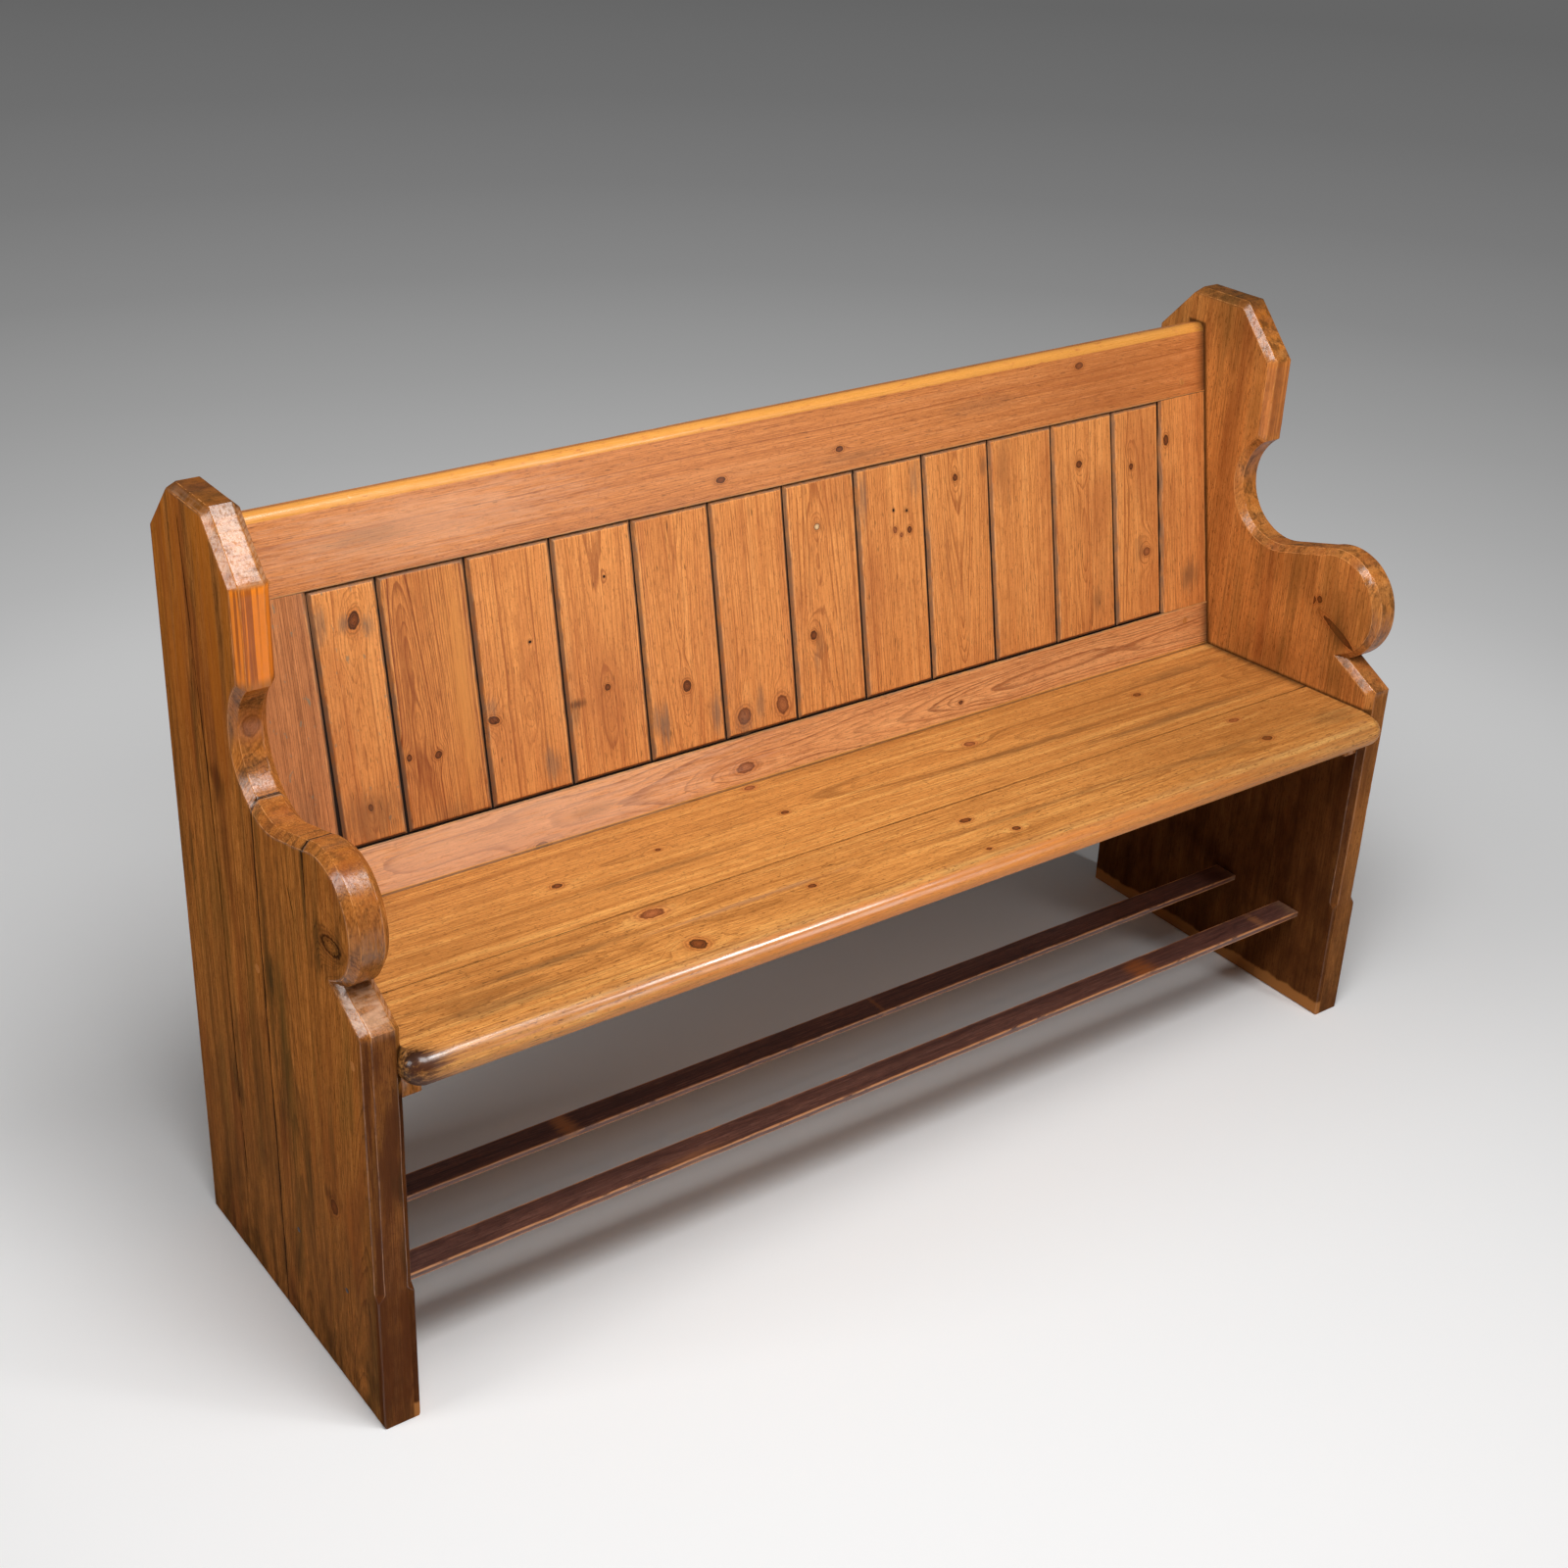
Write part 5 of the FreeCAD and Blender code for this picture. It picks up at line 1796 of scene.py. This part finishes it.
        depths = wide * uneven * down + np.minimum(self.ease, wide / 4) * down_more + 0.4 * chipped
        thick = BENCH.end_thickness - BENCH.proud
        depth = np.concatenate([depths, thick - depths[::-1]])
        flat = np.concatenate([rings, rings[::-1]])
        x = self.side * (BENCH.half_length - BENCH.proud - depth)
        solid = np.concatenate([x[..., None], flat], -1)
        chamfered = np.clip(size / self.chamfer, 0, 1)[None]
        leg = (points[:, 0] < self.leg_front) & (points[:, 1] < self.leg_top)
        arris = np.where(leg, np.where(arris < 0.5, 0.1, 0.8) * arris, arris)
        wear = np.concatenate([arris, arris[::-1]]) * (0.4 + 0.6 * chamfered) * (size > self.joint_limit)
        open_seam = (size < self.joint_limit) & (size > self.joint_limit / 2)
        deep = np.array([0, 0, 0.6, 1, 1, 1, 1, 1, 1, 1])[:, None]
        seam = np.where(open_seam, 1.0, 0.0) * deep
        grime_and_shade = np.concatenate([seam, seam[::-1]])
        return loft(solid, wear, grime_and_shade)

    def build(self) -> None:
        """Builds and dresses the three boards."""
        name = "left_end_" if self.side < 0 else "right_end_"
        for number, (board, runs) in enumerate(self.outlines().items()):
            shell = self.shell(runs, self.seed + self.seed_step * number + int(self.side))
            Piece(name + board, shell, self.woods[board], "end_pine").add()


@dataclass
class Fixings:
    """Materials for the pieces that keep the model's own shape."""

    iron: Colour = srgb(58, 54, 50)
    rust: Colour = srgb(96, 58, 36)

    def rusty_iron(self) -> bpy.types.Material:
        """Dark iron with rust in patches.

        Returns:
            The material.
        """
        graph = Graph(bpy.data.materials.new("dark_iron"))
        place = graph.scale(graph.object_place(), MM_PER_METRE)
        patch = graph.noise(place, (4.0, 4.0, 4.0), 4.0, 0.6)
        colour = graph.mix(patch.rise(0.45, 0.65), self.iron, self.rust)
        graph.surface(colour, patch * 0.3 + 0.4, patch * 0.2, 0.6, {"Metallic": 0.8})
        return graph.owner

    def build(self) -> None:
        """Dresses pegs, plugs, dowels, tongue, screws and nails."""
        peg = Wood(PEG_PINE, Log(Grain.UPRIGHT, 3.0, 40.0, seed=31))
        plug = Wood(PEG_PINE, Log(Grain.PLANK, 60.0, -715.0, seed=33))
        dressed = (
            (self.rusty_iron(), ("seat_screws", "bearer_screws", "lath_nails")),
            (peg.material("peg_end_grain"), ("back_frame_pegs", "seat_joint_tongue")),
            (plug.material("plug_wood"), ("seat_screw_plugs", "left_end_dowels", "right_end_dowels")),
        )
        for material, nodes in dressed:
            for node in nodes:
                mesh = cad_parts[node].data
                mesh.materials.clear()
                mesh.materials.append(material)
                LOG.info("dressed %s", node)


@dataclass
class Stage:
    """The pale floor, the light and the camera."""

    lens: float = 50.841
    sensor: float = 36.0
    shift: tuple[float, float] = (0.037614, -0.027429)
    eye: Point = (-1.44441, -1.77027, 1.67289)
    heading: float = math.radians(35.681)
    fall: float = math.radians(27.064)
    roll: float = math.radians(1.763)
    floor: float = 0.9
    floor_half: float = 30.0
    floor_level: float = -0.0004
    lit: tuple[float, float] = (0.95, 1.8)
    fade_span: float = 10.0
    fade: Sequence[tuple[float, float]] = (
        (0.1, 0.74), (0.13, 0.64), (0.17, 0.53), (0.21, 0.44), (0.25, 0.38),
        (0.3, 0.32), (0.39, 0.24), (0.5, 0.19), (0.65, 0.155), (0.9, 0.13))
    around: float = 0.05

    def add_camera(self) -> None:
        """Sets the camera: a heading from +Y towards +X, a fall below the level, and a roll."""
        data = bpy.data.cameras.new("view")
        data.lens = self.lens
        data.sensor_width = self.sensor
        data.shift_x, data.shift_y = self.shift
        sin, cos = math.sin(self.heading), math.cos(self.heading)
        ahead = Vector((sin * math.cos(self.fall), cos * math.cos(self.fall), -math.sin(self.fall)))
        right = Vector((cos, -sin, 0.0))
        up = right.cross(ahead)
        rolled = right * math.cos(self.roll) + up * math.sin(self.roll)
        upright = up * math.cos(self.roll) - right * math.sin(self.roll)
        turn = Matrix((rolled, upright, -ahead)).transposed().to_4x4()
        camera = bpy.data.objects.new("view", data)
        camera.matrix_world = Matrix.Translation(self.eye) @ turn
        bpy.context.scene.collection.objects.link(camera)
        bpy.context.scene.camera = camera

    def add_floor(self) -> None:
        """Adds the floor: lit around the bench, and far off a plain fade that only the camera sees."""
        graph = Graph(bpy.data.materials.new("floor"))
        away = graph.vector("LENGTH", graph.object_place(), out=1)
        ramp = graph.node("ValToRGB", {}, {0: away / self.fade_span})
        parts = ramp.color_ramp.elements
        while len(parts) < len(self.fade):
            parts.new(0.5)
        for part, (spot, level) in zip(parts, self.fade):
            part.position = spot
            part.color = (level, level, level, 1.0)
        near = graph.node("BsdfDiffuse", {}, {0: (self.floor, self.floor, self.floor, 1.0)})
        shown = {"Base Color": (0.0, 0.0, 0.0, 1.0), "Specular IOR Level": 0.0,
                 "Emission Color": Value(graph, ramp.outputs[0]), "Emission Strength": 1.0}
        far = graph.node("BsdfPrincipled", {}, shown)
        graph.either(away.rise(*self.lit) * graph.seen(), near, far, "OutputMaterial")
        mesh = bpy.data.meshes.new("floor")
        span = np.array([-self.floor_half, self.floor_half])
        corners = np.stack(np.meshgrid(span, span), -1).reshape(-1, 2)
        mesh.from_pydata(np.c_[corners, np.full(4, self.floor_level)], [], [(0, 1, 3, 2)])
        mesh.materials.append(graph.owner)
        floor = bpy.data.objects.new("floor", mesh)
        bpy.context.scene.collection.objects.link(floor)

    def add_light(self, name: str, at: Point, target: Point, size: tuple[float, float],
                  power: float) -> None:
        """Adds one soft box that faces a point.

        Args:
            name: The lamp's name.
            at: Its place.
            target: What it faces.
            size: Its width and height.
            power: Its power in watts.
        """
        data = bpy.data.lights.new(name, "AREA")
        data.shape = "RECTANGLE"
        data.size, data.size_y = size
        data.energy = power
        lamp = bpy.data.objects.new(name, data)
        way = Vector(target) - Vector(at)
        lamp.matrix_world = Matrix.Translation(at) @ way.to_track_quat("-Z", "Y").to_matrix().to_4x4()
        bpy.context.scene.collection.objects.link(lamp)

    def add_world(self) -> None:
        """Lights the scene evenly from all round; the camera sees the floor's far grey instead."""
        world = bpy.data.worlds.new("studio")
        graph, grey = Graph(world), self.fade[-1][1]
        light = graph.node("Background", {}, {0: (1.0, 1.0, 1.0, 1.0), 1: self.around})
        shown = graph.node("Background", {}, {0: (grey, grey, grey, 1.0), 1: 1.0})
        graph.either(graph.seen(), light, shown, "OutputWorld")
        bpy.context.scene.world = world

    def build(self) -> None:
        """Builds camera, floor and light."""
        bpy.context.scene.view_settings.view_transform = "Standard"
        self.add_camera()
        self.add_floor()
        self.add_light("top", (-0.45, -0.95, 2.6), (-0.1, -0.05, 0.45), (1.4, 1.1), 58.0)
        self.add_light("key", (1.1, -1.9, 2.1), (-0.2, 0.0, 0.5), (0.25, 0.6), 9.0)
        self.add_light("card", (0.9, -2.1, 0.6), (-0.2, 0.1, 0.7), (0.9, 0.9), 4.0)
        self.add_light("fill", (-2.45, 0.05, 1.6), (-0.2, 0.0, 0.5), (0.75, 0.75), 15.0)
        self.add_world()


def back_log(pith: float, depth: float, lean: float, seed: int, bend: float = 12.0,
             grain: Grain = Grain.UPRIGHT) -> Log:
    """The log of a piece of the back, measured in the raked back's own plane.

    Args:
        pith: Where the pith lies across the fibres.
        depth: How far the pith lies behind the face.
        lean: How fast the pith comes nearer along the fibres.
        seed: Chooses the noise.
        bend: How far the pith wanders.
        grain: Which way the fibres run.

    Returns:
        The log.
    """
    origin = (0.0, BENCH.back_u, BENCH.back_level)
    return Log(grain, pith, depth, 0.0, lean, seed, bend, origin, -BENCH.back_rake)


def back_woods() -> list[Wood]:
    """The wood of the twelve matched boards, with their knots and stains.

    Returns:
        One wood for each board from left to right.
    """
    dark, red, hole, pale, eye = KnotKind.DARK, KnotKind.RED, KnotKind.HOLE, KnotKind.PALE, KnotKind.EYE
    grey, soot, gold = srgb(104, 88, 76), srgb(120, 78, 50), srgb(216, 142, 72)
    flame = srgb(128, 56, 26)
    return [
        Wood(replace(BACK_PINE, specks=0.6), back_log(-556, 42, 0.0, 1, 4.0),
             (Knot(297, -550, 11, 7, dark, 18), Knot(95, -559, 4.6, 3.2), Knot(252, -556, 26, 8, eye),
              Knot(150, -558, 70, 12, eye)),
             (Blotch(296, -562, 12, 8, 0.6, grey), Blotch(288, -536, 16, 10, 0.55, grey),
              Blotch(300, -587, 26, 9, 0.5, grey), Blotch(85, -556, 40, 50, 0.55, soot))),
        Wood(FLAME_PINE, back_log(-494, 15, -0.03, 2, 9.0),
             (Knot(137, -508, 4.4, 3.6), Knot(132, -474, 5, 4.4, dark, 30), Knot(250, -494, 46, 7, eye),
              Knot(170, -492, 26, 9, eye)),
             (Blotch(110, -490, 46, 15, 0.5, flame), Blotch(220, -500, 120, 9, 0.4, flame),
              Blotch(200, -436, 150, 20, 0.75, gold), Blotch(60, -470, 22, 40, 0.35, soot))),
        Wood(BACK_PINE, back_log(-362, 50, 0.0, 3, 4.0),
             (Knot(153, -404, 5, 8, dark, 20), Knot(229, -350, 1.8, 2, hole), Knot(300, -364, 40, 8, eye),
              Knot(152, -358, 26, 11, eye)),
             (Blotch(88, -340, 24, 13, 0.5, grey), Blotch(168, -404, 14, 9, 0.45, grey))),
        Wood(BACK_PINE, back_log(-262, 56, 0.01, 4, 4.0),
             (Knot(156, -259, 4.4, 4), Knot(281, -250, 1.7, 1.8, hole), Knot(122, -258, 32, 11, eye)),
             (Blotch(146, -300, 7, 16, 0.8, srgb(90, 50, 28)), Blotch(135, -303, 20, 8, 0.4))),
        Wood(BACK_PINE, back_log(-157, 44, 0.03, 5, 5.0),
             (Knot(133, -155, 7.5, 6), Knot(215, -158, 60, 10, eye), Knot(104, -157, 16, 9, eye)),
             (Blotch(96, -191, 30, 13, 0.7, grey), Blotch(92, -118, 28, 9, 0.6, grey))),
        Wood(BACK_PINE, back_log(60, 110, 0.02, 6, 5.0),
             (Knot(78, -80, 11, 10, red, 15), Knot(79, -25, 13, 9, red, -12)),
             (Blotch(86, -56, 30, 8, 0.4, grey), Blotch(70, -80, 22, 14, 0.4, grey))),
        Wood(BACK_PINE, back_log(44, 54, -0.02, 7, 5.0),
             (Knot(280, 42, 4.6, 5, pale), Knot(152, 27, 6, 5.4), Knot(240, 40, 30, 8, eye)),
             (Blotch(140, 36, 20, 9, 0.4, soot), Blotch(120, 30, 20, 5, 0.4, grey))),
        Wood(BACK_PINE, back_log(280, 110, 0.02, 8, 4.0),
             (Knot(278, 156, 2.6, 1.9, hole), Knot(274, 176, 2.2, 1.7, hole), Knot(254, 157, 4.6, 3.6, red),
              Knot(250, 179, 4.6, 3.8), Knot(246, 166, 3.4, 2.8, red)),
             (Blotch(300, 112, 40, 8, 0.5, grey), Blotch(310, 190, 30, 10, 0.4, grey))),
        Wood(BACK_PINE, back_log(256, 40, 0.05, 9, 5.0),
             (Knot(300, 253, 5.2, 4), Knot(120, 256, 60, 10, eye)),
             (Blotch(306, 298, 12, 7, 0.55, soot), Blotch(200, 236, 60, 6, 0.35, flame))),
        Wood(BACK_PINE, back_log(480, 90, 0.02, 10, 4.0), (), (Blotch(300, 330, 60, 12, 0.3, soot),)),
        Wood(BACK_PINE, back_log(462, 46, 0.02, 11, 5.0),
             (Knot(280, 456, 5.2, 5.2), Knot(170, 462, 60, 10, eye)),
             (Blotch(97, 482, 20, 12, 0.5, soot),)),
        Wood(BACK_PINE, back_log(552, 50, -0.02, 12, 5.0),
             (Knot(261, 546, 4.6, 3.8), Knot(144, 571, 6, 7, red), Knot(280, 545, 14, 6, eye)),
             (Blotch(150, 560, 22, 12, 0.4, soot),)),
    ]


def frame_woods() -> dict[str, Wood]:
    """The wood of the rails and stiles.

    Returns:
        One wood for each node.
    """
    # The pale colour is a painted sheen and the umber one painted shade towards the bench's right.
    grey, painted_sheen, right_shade = srgb(110, 84, 62), srgb(238, 184, 146), srgb(168, 90, 36)
    return {
        "back_top_rail": Wood(
            RAIL_PINE, back_log(250, 60, 0.01, 13, 6.0, Grain.RAIL),
            (Knot(-87, 359, 7, 4), Knot(81, 365, 6, 4), Knot(460, 404, 7, 5)),
            # Painted sheen on the top rail's left and painted shade on its right.
            (Blotch(-470, 382, 230, 44, 0.35, painted_sheen), Blotch(520, 380, 230, 60, 0.35, right_shade),
             Blotch(-520, 380, 60, 12, 0.3, grey), Blotch(100, 352, 60, 8, 0.35),
             Blotch(300, 380, 70, 14, 0.2))),
        "back_bottom_rail": Wood(
            BASE_PINE, back_log(20, 34, 0.03, 14, 18.0, Grain.RAIL),
            (Knot(245, 16, 4, 3), Knot(-363, -3, 9, 5), Knot(-85, 16, 14, 7, KnotKind.RED)),
            # The first blotch is a painted pale sheen over the left of the bottom rail.
            (Blotch(-430, 20, 340, 90, 0.5, srgb(240, 192, 160)), Blotch(-300, 20, 40, 8, 0.3, grey))),
        "back_left_stile": Wood(
            STILE_PINE, back_log(-760, 60, 0.0, 15, 4.0), (), (Blotch(90, -630, 70, 14, 0.35),)),
        "back_right_stile": Wood(
            BACK_PINE, back_log(700, 50, 0.02, 16),
            (Knot(285, 608, 8, 5),), (Blotch(97, 648, 26, 20, 0.55),)),
    }


def seat_woods() -> dict[str, Wood]:
    """The wood of the seat and its bearers.

    Returns:
        One wood for each node.
    """
    level = (0.0, 0.0, BENCH.seat_height)
    red = KnotKind.RED
    # The umber colour is painted shade over the seat's right half.
    smoke, right_shade = srgb(92, 70, 44), srgb(140, 84, 32)
    front_log = Log(Grain.LEVEL, 30.0, -70.0, 0.02, 0.02, 17, 10.0, level, -BENCH.seat_tilt)
    rear_log = Log(Grain.LEVEL, 200.0, -60.0, 0.02, -0.02, 18, 12.0, level, -BENCH.seat_tilt)
    bearer_log = Log(Grain.PLANK, 500.0, -600.0, 0.0, 0.0, 19)
    return {
        "seat_front_board": Wood(
            SEAT_PINE, front_log,
            (Knot(-344, 85, 16, 9, red), Knot(-339, 6, 10, 11), Knot(-169, 38, 6, 4), Knot(67, 62, 9, 5),
             Knot(102, 15, 6, 5), Knot(518, 21, 8, 6), Knot(44, -5, 4, 3), Knot(523, 81, 9, 5, red)),
            (Blotch(-480, 60, 120, 7, 0.5, smoke), Blotch(-560, 20, 90, 16, 0.45, smoke),
             Blotch(-250, 50, 130, 5, 0.45, srgb(150, 120, 96)), Blotch(150, 40, 190, 6, 0.35, smoke),
             Blotch(420, 30, 160, 9, 0.4, smoke), Blotch(0, -25, 680, 8, 0.6, srgb(236, 138, 56)),
             # Painted shade over the right half of the seat.
             Blotch(480, 60, 330, 130, 0.3, right_shade),
             Blotch(-676, -12, 24, 20, 1.0, srgb(52, 28, 15)), Blotch(-668, -22, 34, 9, 0.9, srgb(74, 38, 20)),
             Blotch(640, 20, 60, 26, 0.35, smoke))),
        "seat_rear_board": Wood(
            SEAT_PINE, rear_log,
            (Knot(-396, 192, 7, 5), Knot(-91, 194, 6, 4), Knot(-88, 268, 8, 5, red), Knot(-261, 200, 4, 3),
             Knot(204, 215, 9, 6, red), Knot(478, 206, 7, 5)),
            (Blotch(-300, 160, 160, 6, 0.35, smoke), Blotch(250, 170, 200, 8, 0.45, smoke),
             # Painted shade over the right half of the seat.
             Blotch(480, 180, 330, 130, 0.3, right_shade), Blotch(470, 130, 170, 10, 0.45, smoke),
             Blotch(560, 230, 90, 14, 0.35, smoke))),
        "left_seat_bearer": Wood(END_PINE, bearer_log),
        "right_seat_bearer": Wood(END_PINE, bearer_log),
    }


def lath_woods() -> dict[str, Wood]:
    """The wood of the laths, with the places where their stain has worn off.

    Returns:
        One wood for each node.
    """
    bare = srgb(176, 116, 72)
    return {
        "front_foot_lath": Wood(
            LATH_PINE, Log(Grain.LEVEL, 90.0, 40.0, 0.0, 0.0, 20),
            (), (Blotch(398, 66, 26, 30, 0.85, srgb(150, 84, 40)), Blotch(613, 72, 9, 22, 0.5, bare),
                 Blotch(-300, 60, 50, 8, 0.35, bare))),
        "rear_foot_lath": Wood(
            LATH_PINE, Log(Grain.LEVEL, 210.0, 50.0, 0.0, 0.0, 21),
            (), (Blotch(-392, 187, 15, 40, 0.95, bare), Blotch(60, 187, 4, 40, 0.5, bare))),
    }


def end_woods(side: float) -> dict[str, Wood]:
    """The wood of one end's three boards.

    Args:
        side: -1 for the left end and 1 for the right one.

    Returns:
        One wood for each board.
    """
    # The shade colour is painted shade, laid round the right end's scroll, arm and top.
    brown, orange, olive, shade = srgb(70, 42, 22), srgb(224, 118, 30), srgb(66, 52, 28), srgb(108, 62, 26)
    x = side * BENCH.half_length
    if side < 0:
        split = ((357.0, 903.0), (345.0, 760.0), (330.0, 560.0), (326.0, 330.0), (320.0, 92.0))
        front = EndWood(
            END_PINE, Log(Grain.PLANK, 40.0, x - 60.0, 0.1, 0.05, 22, 6.0),
            (Knot(553, 60, 11, 24, KnotKind.LOOSE, 8), Knot(226, 91, 11, 9, KnotKind.DARK, -30)),
            (Blotch(90, 12, 110, 26, 0.5, brown), Blotch(236, 110, 12, 34, 0.6, brown),
             Blotch(520, 60, 26, 40, 0.4, brown), Blotch(300, 88, 90, 7, 0.55, olive),
             Blotch(545, 92, 60, 8, 0.6, olive)),
            side, 0.5, 0.9, (((112.0, 690.0), (112.0, 548.0)),), slope_sheen=0.6)
        middle = EndWood(
            END_PINE, Log(Grain.PLANK, 170.0, x - 80.0, 0.0, 0.03, 23, 6.0), (),
            (Blotch(330, 190, 150, 22, 0.6, olive), Blotch(460, 216, 190, 10, 0.7, olive),
             Blotch(240, 150, 100, 12, 0.5, brown), Blotch(436, 208, 40, 9, 0.85, olive),
             Blotch(262, 205, 50, 8, 0.7, olive)),
            side, 0.55, 0.0,
            (((114.2, 690.0), (114.2, 590.0)), ((160.0, 590.0), (146.0, 554.0), (134.0, 515.0)),
             ((228.2, 690.0), (228.2, -30.0))))
        rear = EndWood(
            END_PINE, Log(Grain.PLANK, 316.0, x + 14.0, -0.0456, 0.0, 24, 5.0),
            (Knot(692, x + 21.0, 14, 11, KnotKind.RED, 0.0, True),),
            (Blotch(790, 233, 66, 9, 0.55, orange), Blotch(560, 300, 160, 20, 0.3, brown),
             Blotch(611, 306, 26, 15, 0.85, olive), Blotch(486, 398, 60, 7, 0.6, olive),
             Blotch(245, 332, 40, 7, 0.7, olive), Blotch(620, 312, 14, 30, 0.6, brown),
             Blotch(228, 320, 26, 14, 0.7, brown), Blotch(240, 270, 120, 12, 0.5, brown),
             Blotch(600, 420, 300, 14, 0.4, brown)),
            side, 0.5, 0.0, (split, ((229.8, 690.0), (229.8, -30.0))), slope_sheen=0.5, post_glow=0.75)
    else:
        front = EndWood(
            INNER_PINE, Log(Grain.PLANK, -40.0, x + 90.0, 0.02, 0.02, 25, 5.0),
            (Knot(570, 113, 6, 4.6), Knot(574, 103, 5.4, 4.4), Knot(541, 66, 32, 5.5, KnotKind.DARK, 62)),
            (Blotch(541, 64, 30, 16, 0.6, brown), Blotch(560, 70, 80, 60, 0.45, shade),
             Blotch(480, 60, 40, 60, 0.4, shade)),
            side, 0.35, 0.6, handled=0.6)
        middle = EndWood(
            INNER_PINE, Log(Grain.PLANK, 280.0, x + 90.0, 0.0, 0.02, 26, 5.0), (),
            (Blotch(600, 150, 60, 60, 0.4, shade), Blotch(470, 170, 50, 80, 0.35, shade)),
            side, 0.35, handled=0.6)
        rear = EndWood(
            INNER_PINE, Log(Grain.PLANK, 430.0, x + 80.0, 0.02, 0.02, 27, 5.0), (),
            (Blotch(880, 300, 60, 80, 0.45, shade), Blotch(700, 290, 260, 20, 0.3, shade)),
            side, 0.35, handled=0.6,
            post_glow=0.7, post_colour=srgb(206, 124, 60), post_line=srgb(160, 88, 40))
    return {"front_board": front, "middle_board": middle, "rear_board": rear}


def main() -> None:
    """Builds the bench piece by piece."""
    logging.basicConfig(level=logging.INFO, format="%(name)s: %(message)s")
    Stage().build()
    for side in (-1.0, 1.0):
        EndPanel(side, end_woods(side)).build()
    BackFrame().build(frame_woods())
    BackBoards().build(back_woods())
    Seat().build(seat_woods())
    Laths().build(lath_woods())
    Fixings().build()


if __name__ == "__main__":
    main()
